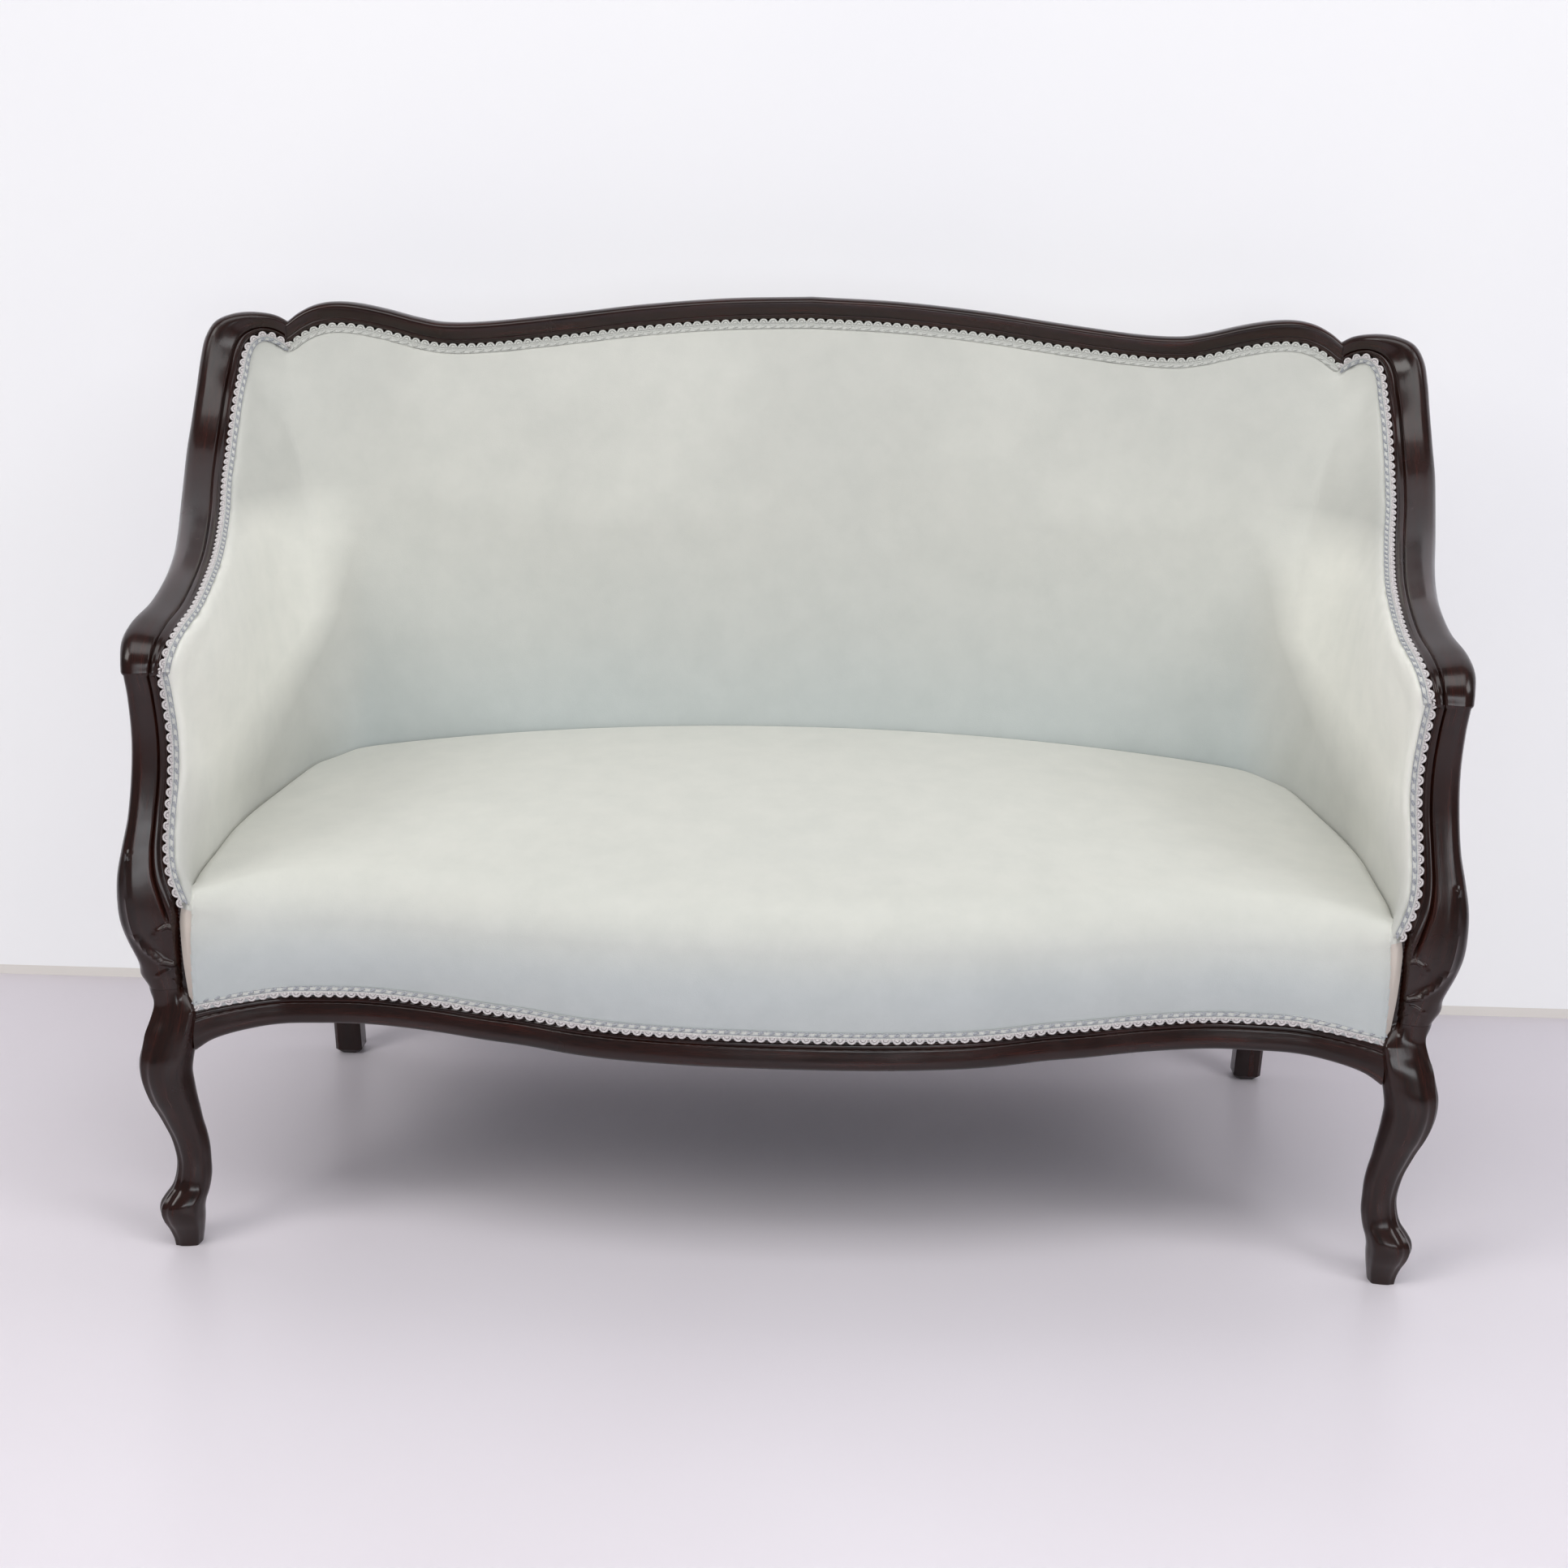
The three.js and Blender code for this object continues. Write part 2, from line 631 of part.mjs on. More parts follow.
// Side rail's outer face at a depth: it meets the leg's block and the rear upright inside their corners
const railSeatShare = 0.35;
const railBowShare = 0.1;
const railStep = rearLegSize / 8;

function sideRailOuter(y) {
  const front = frontFootHalf + railSeatShare * legBlock;
  const rear = uprightAt(railMiddle).x + rearLegSize / 2 - railStep;
  const share = (y - frontLegY) / (rearRailY - frontLegY);
  return mix(front, rear, share) + railBowShare * railThick * Math.sin(Math.PI * share);
}

function sideRailBody() {
  const ys = shares(8).map((share) => mix(frontLegY + legBlock / 4, rearRailY, share));
  return loft(ys.map((y) => {
    const outer = sideRailOuter(y);
    const inner = outer - railThick;
    return [[inner, railBottom], [outer, railBottom], [outer, railTop], [inner, railTop]]
      .map(([x, z]) => new THREE.Vector3(x, y, z));
  }));
}

function sideSeatRail() {
  return trimmed(sideRailBody(), [frontLeg(fit), armSupportBody(fit), uprightBody(fit)]);
}

// Back tacking rail, across the back above the seat rail
const tackingHeight = railTop + 1.8 * railThick;
const tackingTall = 1.3 * railThick;

function backTackingRail() {
  const { x, y } = uprightAt(tackingHeight);
  const left = new THREE.Vector3(-x, y, tackingHeight);
  const right = new THREE.Vector3(x, y, tackingHeight);
  const rail = bar(left, right, 0.7 * railThick, tackingTall, new THREE.Vector3(0, 1, 0));
  return trimmed(rail, uprightCutters());
}

function backCentreUpright() {
  const foot = tackingHeight + tackingTall / 2 + fit;
  const rings = backHeights(foot, crestHeight - crestBand / 2).map((z) => {
    const half = rearLegSize / 2;
    const front = Math.min(frameFront(z), frameBack(z) - uprightTopDepth);
    return [[-half, front], [half, front], [half, frameBack(z)], [-half, frameBack(z)]]
      .map(([x, y]) => new THREE.Vector3(x, y, z));
  });
  return trimmed(loft(rings), [crestRail(fit)]);
}

// Arm tacking rail, along each side above the seat rail
function armTackingBar(grow) {
  const height = railTop + 1.6 * railThick;
  const rear = uprightAt(height);
  const start = new THREE.Vector3(frontFootHalf + legBlock / 4, frontLegY, height);
  const end = new THREE.Vector3(rear.x + rearLegSize / 4, rear.y - rearLegSize / 4, height);
  const thick = railThick / 2 + 2 * grow;
  const tall = 1.2 * railThick + 2 * grow;
  return bar(start, end, thick, tall, new THREE.Vector3(1, 0, 0));
}

function armTackingRail() {
  return trimmed(armTackingBar(0), [armSupportBody(fit), uprightBody(fit)]);
}

// A flat plate of an outline, from one height to another
function plate(outline, low, high) {
  const shape = new THREE.Shape(outline.map(([x, y]) => new THREE.Vector2(x, y)));
  const geometry = new THREE.ExtrudeGeometry(shape, { depth: high - low, bevelEnabled: false });
  geometry.deleteAttribute('normal');
  geometry.deleteAttribute('uv');
  return mergeVertices(geometry.translate(0, 0, low), fit / 100);
}

function frontRailBack(x) {
  return frontAt(x).y + railRebate + railThick;
}

// Space taken by the front rail and all before it, to trim the corner block by
function frontBeyond() {
  const end = railHalf + 2 * overrun;
  const back = [-end, ...frontStations(), end].map((x) => [x, frontRailBack(x) + fit]);
  const front = frontLegY - serpentineReach - overrun;
  return plate([...back, [end, front], [-end, front]], railBottom, railTop);
}

// Glued corner block in the front corner of the seat frame
function frontCornerBlock() {
  const reach = 3 * railThick;
  const front = frontRailBack(railHalf) - railThick / 2;
  const rear = front + reach;
  const inner = sideRailOuter(rear) - railThick;
  const outline = [
    [sideRailOuter(front) - railThick / 2, front],
    [sideRailOuter(rear) - railThick / 2, rear],
    [inner - railThick, rear],
    [inner - reach, rear - railThick / 2],
    [inner - reach, front],
  ];
  const block = plate(outline, railBottom + railThick / 2, railTop - railThick / 2);
  const side = sideRailBody();
  const rails = [frontBeyond(), side, side.clone().translate(-fit, 0, 0)];
  return trimmed(block, [...rails, frontLeg(fit), armSupportBody(fit)]);
}

// Glued corner block in the rear corner of the seat frame
function rearCornerBlock() {
  const reach = 2.6 * railThick;
  const { x, y } = uprightAt(railMiddle);
  const inner = x - rearLegSize / 2 - fit;
  const front = y - rearLegSize / 2 - fit;
  const railFront = y - railThick / 2 - fit;
  const side = (at) => sideRailOuter(at) - railThick - fit;
  const outline = [
    [inner, railFront],
    [inner - reach, railFront],
    [inner - reach, railFront - railThick / 2],
    [side(front - reach) - railThick / 2, front - reach],
    [side(front - reach), front - reach],
    [side(front), front],
    [inner, front],
  ];
  const block = plate(outline, railBottom + railThick / 2, railTop - railThick / 2);
  return trimmed(block, [uprightBody(fit)]);
}

// Dipped stretcher under the springs, front to back
function seatStretcher() {
  const front = frontRailBack(0) + fit;
  const rear = uprightAt(railMiddle).y - railThick / 2 - fit;
  const low = railBottom + fit;
  const middle = (front + rear) / 2;
  const half = 0.8 * railThick;
  const rings = [
    [front, 1],
    [mix(front, middle, 0.4), 0.75],
    [middle, 0.7],
    [mix(rear, middle, 0.4), 0.75],
    [rear, 1],
  ];
  return loft(rings.map(([y, tall]) => {
    const top = low + tall * railThick;
    return [[-half, low], [half, low], [half, top], [-half, top]]
      .map(([x, z]) => new THREE.Vector3(x, y, z));
  }));
}

// A woven lattice of flat bands, joined where they cross
function lattice(bands) {
  return geometryOf(bands.map(solid).reduce((joined, band) => joined.add(band)));
}

// Springs stand in columns and rows, on the crossings of the seat's webbing
const columnShares = [-0.84, -0.5, -0.17, 0.17, 0.5, 0.84];
const rowShares = [-0.22, 0.14];
const springColumns = columnShares.map((share) => share * springHalf);
const springRows = rowShares.map((share) => share * legSpan);
const weave = fit / 2; // crossing bands are drawn thinner by this on either face

function oblong(x, y, wide, deep, low, high) {
  return plate(cornerShares.map(([a, b]) => [x + a * wide, y + b * deep]), low, high);
}

function seatWebbing() {
  const top = railBottom - fit;
  const low = top - webThick;
  const inset = railThick / 2;
  const lengths = springColumns.map((x) => {
    const front = frontRailBack(x) - inset;
    return oblong(x, (front + rearRailY) / 2, webWidth, rearRailY - front, low, top);
  });
  const crossings = [...springRows, (springRows[0] + springRows[1]) / 2].map((y) => {
    const end = Math.min(sideRailOuter(y - webWidth / 2), sideRailOuter(y + webWidth / 2)) - inset;
    return oblong(0, y, 2 * end, webWidth, low + weave, top - weave);
  });
  return lattice([...lengths, ...crossings]);
}

function backBand(left, right, bottom, top, thinner) {
  return loft(backHeights(bottom, top).map((z) => {
    const back = frameFront(z) - fit - thinner;
    const front = back - webThick + 2 * thinner;
    return [[left, front], [right, front], [right, back], [left, back]]
      .map(([x, deep]) => new THREE.Vector3(x, deep, z));
  }));
}

const backColumnShares = [-0.88, -0.53, -0.18, 0.18, 0.53, 0.88];
const backRowShares = [0.3, 0.62];

function backWebbing() {
  const uprights = backColumnShares.map((share) => {
    const x = share * creaseHalf;
    const top = crestFrame(x).inner.z - (2 * crestBand) / 3;
    return backBand(x - webWidth / 2, x + webWidth / 2, tackingHeight, top, 0);
  });
  const crossings = backRowShares.map((share) => {
    const z = mix(tackingHeight, crestLow, share);
    const end = uprightAt(z).x;
    return backBand(-end, end, z - webWidth / 2, z + webWidth / 2, weave);
  });
  return lattice([...uprights, ...crossings]);
}

// Dome of the sprung hessian above the rails
const domeShare = 0.38; // half the dome's depth
const domeRearShare = 0.3;

function springRise(x, y) {
  const across = Math.max(0, 1 - (x / springHalf) ** 2);
  const deep = Math.max(0, 1 - ((y - frontLegY / 6) / (legSpan * domeShare)) ** 2);
  return springLift * across * deep;
}

const cornerStationShares = [0.98, 1];
const hessianTop = railTop + fit + webThick;
const domeRows = shares(7).map((share) => mix(-domeShare, domeRearShare, share) * legSpan);

// Stations of the seat: those of the front rail, and two more in each front corner
function seatStations() {
  const corner = cornerStationShares.map((share) => share * (seatSideHalf + overrun / 2));
  return [...corner.map((x) => -x).reverse(), ...frontStations(), ...corner];
}

function springHessian() {
  const end = Math.min(sideRailOuter(frontLegY), sideRailOuter(rearRailY)) - railThick - rearLegSize / 4;
  const xs = [-end, ...seatStations().filter((x) => Math.abs(x) < creaseHalf), end];
  const rings = xs.map((x) => {
    const front = frontAt(x).y + railRebate + fit;
    const ys = [rearRailY, ...[...domeRows].reverse(), front];
    const above = ys.map((y) => new THREE.Vector3(x, y, hessianTop + springRise(x, y)));
    const below = ys.map((y) => new THREE.Vector3(x, y, hessianTop - webThick + springRise(x, y)));
    return [...above, ...below.reverse()];
  });
  return trimmed(loft(rings, true), [...frontCutters(), ...uprightCutters()]);
}

// Waisted seat spring, one unbroken wire
const curlSteps = 8;
const wireSides = 5;
const waistShare = 1.4; // how soon the coils widen from the waist

function springPath(x, y) {
  const low = railBottom + springWire;
  const steps = Math.round(springCurls * curlSteps);
  return shares(steps).map((share) => {
    const turn = (share * steps * 2 * Math.PI) / curlSteps;
    const reach = mix(springWaistRadius, springEndRadius, Math.abs(2 * share - 1) ** waistShare);
    const place = new THREE.Vector3(x + reach * Math.cos(turn), y + reach * Math.sin(turn), low);
    const high = hessianTop - webThick + springRise(place.x, place.y) - 3 * fit - springWire;
    return place.setZ(mix(low, high, share));
  });
}

function wireTube(path, radius) {
  const rings = path.map((point, n) => {
    const before = path[Math.max(0, n - 1)];
    const after = path[Math.min(path.length - 1, n + 1)];
    const along = new THREE.Vector3().subVectors(after, before).normalize();
    const up = new THREE.Vector3(0, 0, 1);
    const side = new THREE.Vector3().crossVectors(along, up).normalize();
    const top = new THREE.Vector3().crossVectors(side, along);
    return Array.from({ length: wireSides }, (unused, k) => {
      const turn = (k * 2 * Math.PI) / wireSides;
      return point.clone()
        .addScaledVector(side, radius * Math.cos(turn))
        .addScaledVector(top, radius * Math.sin(turn));
    });
  });
  return loft(rings);
}

function leastSelfGap(path, radius) {
  let least = Infinity;
  path.forEach((point, n) => {
    path.slice(n + curlSteps - 2).forEach((other) => {
      least = Math.min(least, point.distanceTo(other) - 2 * radius);
    });
  });
  return least;
}

const creaseShare = 1.8; // how late the crease turns out towards the notch

// Crease between the inside back and the inside arm
function creaseAt(height) {
  const share = (height - creaseHeight) / (uprightTop - creaseHeight);
  const x = mix(creaseHalf, notchHalf, Math.max(0, share) ** creaseShare);
  const y = mix(creaseY, notchY - railThick / 4, share);
  return { x, y, share };
}

const fullShare = 2.5; // how flat the middle of the back runs before it rounds to the creases

// Inside back: place at a share across and a height
function backSurface(across, height) {
  const { x, y, share } = creaseAt(height);
  const full = mix(backFullness, 0, Math.min(1, share)) * (1 - Math.abs(across) ** fullShare);
  const lumbar = lumbarSwell * Math.sin(Math.PI * THREE.MathUtils.clamp(share, 0, 1)) * (1 - across ** 2);
  return new THREE.Vector3(across * x, y + full - lumbar, height);
}

const padBottom = railTop + railThick / 2;
const dropShares = [0.07, 0.17, 0.29, 0.42, 0.55, 0.68, 0.8, 0.9, 1];

// Inside back from the braid's bed under the crest down to the seat frame
function backColumn(across) {
  const x = across * (notchHalf - padSetback);
  const frame = crestFrame(x);
  const near = bedPoint(frame, crestDepth, padSetback, padEdge);
  const far = bedPoint(frame, crestDepth, braidWidth + 2 * fit, padEdge);
  const start = backSurface(across, far.z);
  const rest = dropShares.map((drop) => {
    const place = backSurface(across, mix(far.z, padBottom, drop));
    const fade = (1 - drop) ** 3;
    place.x += (far.x - start.x) * fade - 2 * fit * across ** 9;
    place.y += (far.y - start.y) * fade;
    return place;
  });
  return [near, far, ...rest];
}

const halfShares = [0, 0.16, 0.32, 0.48, 0.62, 0.7, 0.75, 0.81, 0.87, 0.915, 0.96, 1];
const backShares = [...halfShares.slice(1).reverse().map((across) => -across), ...halfShares];

function backPad() {
  const front = backShares.map(backColumn);
  const back = front.map((column) => column.map((point) => {
    return point.clone().setY(frameFront(point.z) - webThick - 4 * fit);
  }));
  return slab(front, back);
}

// A row of points grown forwards and carried on straight down, to trim the seat by
function skirted(row, way) {
  const grown = row.map((point) => point.clone().addScaledVector(way, fit));
  return [...grown, grown[grown.length - 1].clone().setZ(railTop - railThick)];
}

function backBeyond() {
  const front = backShares.map((across) => skirted(backColumn(across), new THREE.Vector3(0, -1, 0)));
  const back = front.map((column) => column.map((point) => point.clone().setY(point.y + 4 * overrun)));
  return slab(front, back);
}

// Inside arm at the seat: distance from the middle at a depth
const sideFrontY = frontLegY + legBlock / 2;

function sidePlan(y) {
  const share = (y - sideFrontY) / (creaseY - sideFrontY);
  return mix(seatSideHalf, creaseHalf, smooth(sidePlanShares, THREE.MathUtils.clamp(share, 0, 1)));
}

// Stations round the edge of the inside arm: wing and arm rail, then arm support
const armRailShares = [
  0.01, 0.08, 0.15, 0.22, 0.28, 0.33, 0.38, 0.43, 0.474, 0.526, 0.58, 0.63, 0.69, 0.75, 0.81,
  0.86, 0.905, 0.95, 1,
];
const armSupportShares = [0.07, 0.18, 0.3, 0.42, 0.52, 0.61, 0.69];
const armStations = [
  ...armRailShares.map((along) => ({ frame: wingFrame(along), depth: armDepth })),
  ...armSupportShares.map((fall) => {
    const frame = supportFrame(fall);
    return { frame, depth: frame.depth };
  }),
];
const creasePartShare = 0.42; // stations that fan to the crease, the others to the foot of the pad

function armFoot(share) {
  if (share <= creasePartShare) {
    const height = mix(uprightTop - 2.5 * padDepth, padBottom, share / creasePartShare);
    const { x, y } = creaseAt(height);
    return new THREE.Vector3(x + fit, y, height);
  }
  const start = creaseAt(padBottom).y;
  const y = mix(start, sideFrontY + legBlock / 2, (share - creasePartShare) / (1 - creasePartShare));
  return new THREE.Vector3(sidePlan(y), y, padBottom);
}

// Where along the arm its way out begins to turn backwards, and how fast it turns
const turnStartShare = 0.35;
const fullTurn = 1.4;
const armFullShare = 0.16; // fullness of the inside arm, by its own length down

// The way out of the sofa through the inside arm, at a depth
function armOutwards(y) {
  const share = (y - frontLegY) / (notchY - frontLegY);
  const turn = Math.max(0, Math.min(1, share) - turnStartShare) * fullTurn;
  return new THREE.Vector3(Math.cos(turn), Math.sin(turn), 0);
}

// Face of the inside arm at one station: braid's bed, soft roll, then fanning in to the crease or the seat
function armRow({ frame, depth }, n) {
  const foot = armFoot(n / (armStations.length - 1));
  const near = bedPoint(frame, depth, padSetback, padEdge);
  const far = bedPoint(frame, depth, braidWidth + 2 * fit, padEdge);
  const roll = bedPoint(frame, depth, braidWidth + padDepth / 2, -padDepth / 4);
  const fullness = roll.distanceTo(foot) * armFullShare;
  const inside = [0.2, 0.4, 0.6, 0.8, 1].map((share) => {
    const point = roll.clone().lerp(foot, share);
    return point.addScaledVector(armOutwards(point.y), fullness * share * (1 - share));
  });
  return [near, far, roll, ...inside];
}

function armPad() {
  const front = armStations.map(armRow);
  const back = armStations.map(({ frame, depth }, n) => [
    bedPoint(frame, depth, padSetback, 0),
    bedPoint(frame, depth, braidWidth + 2 * fit - padEdge, 0),
    ...front[n].slice(2).map((point, k) => {
      const thick = k === 0 ? padDepth / 2 : padDepth;
      return point.clone().addScaledVector(armOutwards(point.y), thick);
    }),
  ]);
  return trimmed(slab(front, back), [armSupportBody(fit), uprightBody(fit), armTackingBar(fit)]);
}

// Space beyond the inside arm, to trim the seat by
function armBeyond() {
  const front = armStations.map((station, n) => {
    const row = armRow(station, n);
    return skirted(row, armOutwards(row[row.length - 1].y).negate());
  });
  const back = front.map((row) => row.map((point) => {
    return point.clone().addScaledVector(armOutwards(point.y), 3 * padDepth);
  }));
  return slab(front, back);
}

// Seat top over a place in plan
function seatTop(x, y) {
  const share = THREE.MathUtils.clamp((y - frontLegY) / (creaseY + backFullness - frontLegY), 0, 1);
  const across = Math.max(0, 1 - (x / seatSideHalf) ** 2);
  const rise = mix(seatFrontCrown, seatCrown, share) * across;
  const swell = seatSwell * across * Math.sin(Math.PI * share);
  return railTop + mix(seatCornerRise, creaseRise, share) + rise + swell;
}

// Back of the seat, a little way into the inside back and the inside arms
function seatRear(x) {
  const distance = Math.abs(x);
  if (distance <= creaseHalf) {
    return backSurface(x / creaseHalf, creaseHeight).y + overrun / 2;
  }
  const inset = THREE.MathUtils.clamp((seatSideHalf - distance) / (seatSideHalf - creaseHalf), 0, 1);
  const inverse = sidePlanShares.map(([back, inwards]) => [inwards, back]);
  return mix(sideFrontY, creaseY, Math.max(sidePlanShares[1][0], smooth(inverse, inset))) + overrun / 2;
}

// Profile of the seat at a distance from the middle: front border, roll, top, rear and underside
function seatProfile(x) {
  const { y, z } = frontAt(x);
  const face = y - padEdge;
  const top = seatTop(x, y) - seatRound;
  const border = [
    [face, z + padSetback],
    [face, z + braidWidth + 2 * fit],
    [face - 0.75 * borderSwell, mix(z, top, 0.4)],
    [face - borderSwell, mix(z, top, 0.72)],
    [face - 0.8 * borderSwell, top],
  ];
  const roll = [0.25, 0.5, 0.75].map((share) => {
    const turn = (share * Math.PI) / 2;
    const at = face - 0.8 * borderSwell + seatRound * (1 - Math.cos(turn));
    return [at, top + seatRound * Math.sin(turn) * (seatTop(x, at) - top) / seatRound];
  });
  const start = face - 0.8 * borderSwell + seatRound;
  const rear = seatRear(x);
  const over = shares(6).map((share) => {
    const at = mix(start, rear, share);
    return [at, seatTop(x, at)];
  });
  const railBack = y + railRebate - fit;
  const narrow = domeRows.map((unused, n) => mix(railBack, rear, (n + 1) / (domeRows.length + 1)));
  const rows = Math.abs(x) < creaseHalf ? domeRows : narrow;
  const under = [rear, ...[...rows].reverse(), railBack]
    .map((at) => [at, hessianTop + fit + springRise(x, at)]);
  return [...border, ...roll, ...over, ...under, [railBack, z + fit]]
    .map(([deep, up]) => new THREE.Vector3(x, deep, up));
}

function seatPad() {
  const side = [armBeyond(), frontLeg(fit), armSupportBody(fit), armTackingBar(fit)];
  return trimmed(loft(seatStations().map(seatProfile)), [...side, ...side.map(mirrored), backBeyond()]);
}

// Outside back, tacked to the back of the uprights and the crest
const outsideLow = railBottom + railThick;

function outsideBack() {
  const face = shares(8).map((share) => {
    const across = 2 * share - 1;
    const foot = across * (uprightAt(outsideLow).x + rearLegSize / 2 - 2 * fit);
    const head = across * (notchHalf - 2 * padSetback);
    const top = crestFrame(head).inner.z + crestBand / 3;
    return backHeights(outsideLow, uprightTop).map((height) => {
      const z = height < uprightTop ? height : top;
      const x = mix(foot, head, (z - outsideLow) / (top - outsideLow));
      return new THREE.Vector3(x, frameBack(z) + fit, z);
    });
  });
  const out = face.map((column) => column.map((point) => point.clone().setY(point.y + clothThick)));
  return slab(face, out);
}

// Outside arm, from the rails' underside down to the side seat rail
const outsideShares = [0.02, 0.09, 0.15, 0.22, 0.3, 0.38, 0.474, 0.56, 0.66, 0.77, 0.9];
const tackedShares = [0.06, 0.74]; // line of its tacks across the rail, at the notch and past the shoulder

function outsideArm() {
  const [first] = outsideShares;
  const last = outsideShares[outsideShares.length - 1];
  const inner = outsideShares.map((along, n) => {
    const frame = wingFrame(along);
    const over = mix(...tackedShares, Math.min(1, n / 4)) * frame.width;
    const head = frame.inner.clone()
      .addScaledVector(frame.across, over)
      .addScaledVector(frame.proud, -edgeShare * armDepth - 2 * fit);
    const share = ((along - first) / (last - first)) ** splayShare;
    const y = mix(rearRailY + rearLegSize / 4, frontLegY + legBlock * 0.9, share);
    const foot = new THREE.Vector3(sideRailOuter(y) + 2 * fit, y, outsideLow);
    return shares(4).map((down) => head.clone().lerp(foot, down));
  });
  const outer = inner.map((column) => column.map((point) => point.clone().setX(point.x + clothThick)));
  const sheet = slab(inner, outer);
  return trimmed(sheet, [armRailBody(fit), armSupportBody(fit), uprightBody(fit)]);
}

// Black cloth under the seat
function dustCover() {
  const top = railBottom - 2 * fit - webThick;
  const inset = railThick / 4;
  const end = railHalf - 3 * railThick;
  const xs = [-end, ...frontStations().filter((x) => Math.abs(x) < end - overrun), end];
  const front = xs.map((x) => [x, frontRailBack(x) - inset]);
  const rear = uprightAt(railMiddle).y - rearLegSize / 2 - fit;
  const frontCorner = frontLegY + 1.4 * legBlock;
  const side = sideRailOuter(rear) - inset;
  const frontSide = sideRailOuter(frontLegY + legBlock) - inset;
  const outline = [
    ...front,
    [frontSide - railThick, frontLegY + legBlock],
    [frontSide, frontCorner],
    [side, rear - rearLegSize / 2],
    [side - rearLegSize, rear + rearLegSize / 2],
    [rearLegSize - side, rear + rearLegSize / 2],
    [-side, rear - rearLegSize / 2],
    [-frontSide, frontCorner],
    [railThick - frontSide, frontLegY + legBlock],
  ];
  return trimmed(plate(outline, top - webThick, top), uprightCutters());
}

// Braids
function crestBraid() {
  const inwards = 1 - padSetback / notchHalf;
  return loft(crestStations().map((x) => braidRing(crestFrame(x * inwards), crestDepth)));
}

function armBraid() {
  const wing = wingStepShares.slice(1).map((along) => braidRing(wingFrame(along), armDepth, 4 * fit));
  const support = shares(supportSteps).filter((fall) => fall > 0.03 && fall < 0.7).map((fall) => {
    const frame = supportFrame(fall);
    return braidRing(frame, frame.depth, 4 * fit);
  });
  return loft([...wing, ...support]);
}

function frontBraid() {
  return trimmed(loft(frontStations().map((x) => braidRing(frontFrame(x), 0))), frontCutters());
}

// The whole sofa
const sofa = new THREE.Group();

function add(name, geometry, finish) {
  const mesh = new THREE.Mesh(geometry, new THREE.MeshStandardMaterial(finish));
  mesh.name = name;
  sofa.add(mesh);
  return mesh;
}

function addPair(name, geometry, finish) {
  add(`${name}_right`, geometry, finish);
  add(`${name}_left`, mirrored(geometry), finish);
}

add('crest_rail', crestRail(), polishedMahogany);
addPair('arm_rail', armRail(), polishedMahogany);
addPair('arm_support', armSupport(), polishedMahogany);
addPair('front_leg', frontLeg(), polishedMahogany);
add('front_seat_rail', frontSeatRail(), polishedMahogany);
addPair('rear_upright', rearUpright(), polishedMahogany);
add('rear_seat_rail', rearSeatRail(), plainBeech);
addPair('side_seat_rail', sideSeatRail(), polishedMahogany);
add('back_tacking_rail', backTackingRail(), plainBeech);
add('back_centre_upright', backCentreUpright(), plainBeech);
addPair('arm_tacking_rail', armTackingRail(), plainBeech);
addPair('front_corner_block', frontCornerBlock(), plainBeech);
addPair('rear_corner_block', rearCornerBlock(), plainBeech);
add('seat_stretcher', seatStretcher(), plainBeech);
add('seat_webbing', seatWebbing(), juteCloth);
add('back_webbing', backWebbing(), juteCloth);
add('spring_hessian', springHessian(), juteCloth);
add('dust_cover', dustCover(), blackCotton);
add('seat_pad', seatPad(), paleVelvet);
add('back_pad', backPad(), paleVelvet);
addPair('arm_pad', armPad(), paleVelvet);
add('outside_back', outsideBack(), paleVelvet);
addPair('outside_arm', outsideArm(), paleVelvet);
add('crest_braid', crestBraid(), cottonBraid);
addPair('arm_braid', armBraid(), cottonBraid);
add('front_braid', frontBraid(), cottonBraid);

let springGap = Infinity;
springColumns.forEach((x, column) => {
  springRows.forEach((y, row) => {
    const path = springPath(x, y);
    springGap = Math.min(springGap, leastSelfGap(path, springWire));
    add(`seat_spring_${row * springColumns.length + column + 1}`, wireTube(path, springWire), springSteel);
  });
});
console.log(`least gap of a spring to itself: ${springGap.toFixed(1)} mm`);

// The origin lies on the floor, under the middle of the sofa's box
const box = new THREE.Box3().setFromObject(sofa);
sofa.position.y = -(box.min.y + box.max.y) / 2;

export default sofa;
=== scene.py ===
# Cabriole sofa: show-wood, padded inside, gimp and cloth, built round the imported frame
import math

import bmesh
import bpy
import numpy as np
from mathutils import Matrix, Vector
from mathutils.bvhtree import BVHTree
from mathutils.kdtree import KDTree


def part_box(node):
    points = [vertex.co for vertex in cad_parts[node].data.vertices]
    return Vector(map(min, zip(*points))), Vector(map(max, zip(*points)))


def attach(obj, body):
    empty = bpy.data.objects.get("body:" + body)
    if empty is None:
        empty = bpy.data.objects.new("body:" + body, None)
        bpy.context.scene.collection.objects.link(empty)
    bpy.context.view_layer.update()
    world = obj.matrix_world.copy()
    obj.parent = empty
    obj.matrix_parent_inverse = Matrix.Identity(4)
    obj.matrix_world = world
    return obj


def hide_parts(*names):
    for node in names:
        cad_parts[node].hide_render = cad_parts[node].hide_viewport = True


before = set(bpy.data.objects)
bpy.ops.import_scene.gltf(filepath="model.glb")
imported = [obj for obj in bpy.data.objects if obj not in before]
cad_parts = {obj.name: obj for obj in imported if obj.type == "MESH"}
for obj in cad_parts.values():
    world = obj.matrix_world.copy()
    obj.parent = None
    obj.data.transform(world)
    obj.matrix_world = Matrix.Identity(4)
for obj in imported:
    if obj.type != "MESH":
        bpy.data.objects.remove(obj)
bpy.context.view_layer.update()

scene = bpy.context.scene
scene.view_settings.view_transform = "Standard"

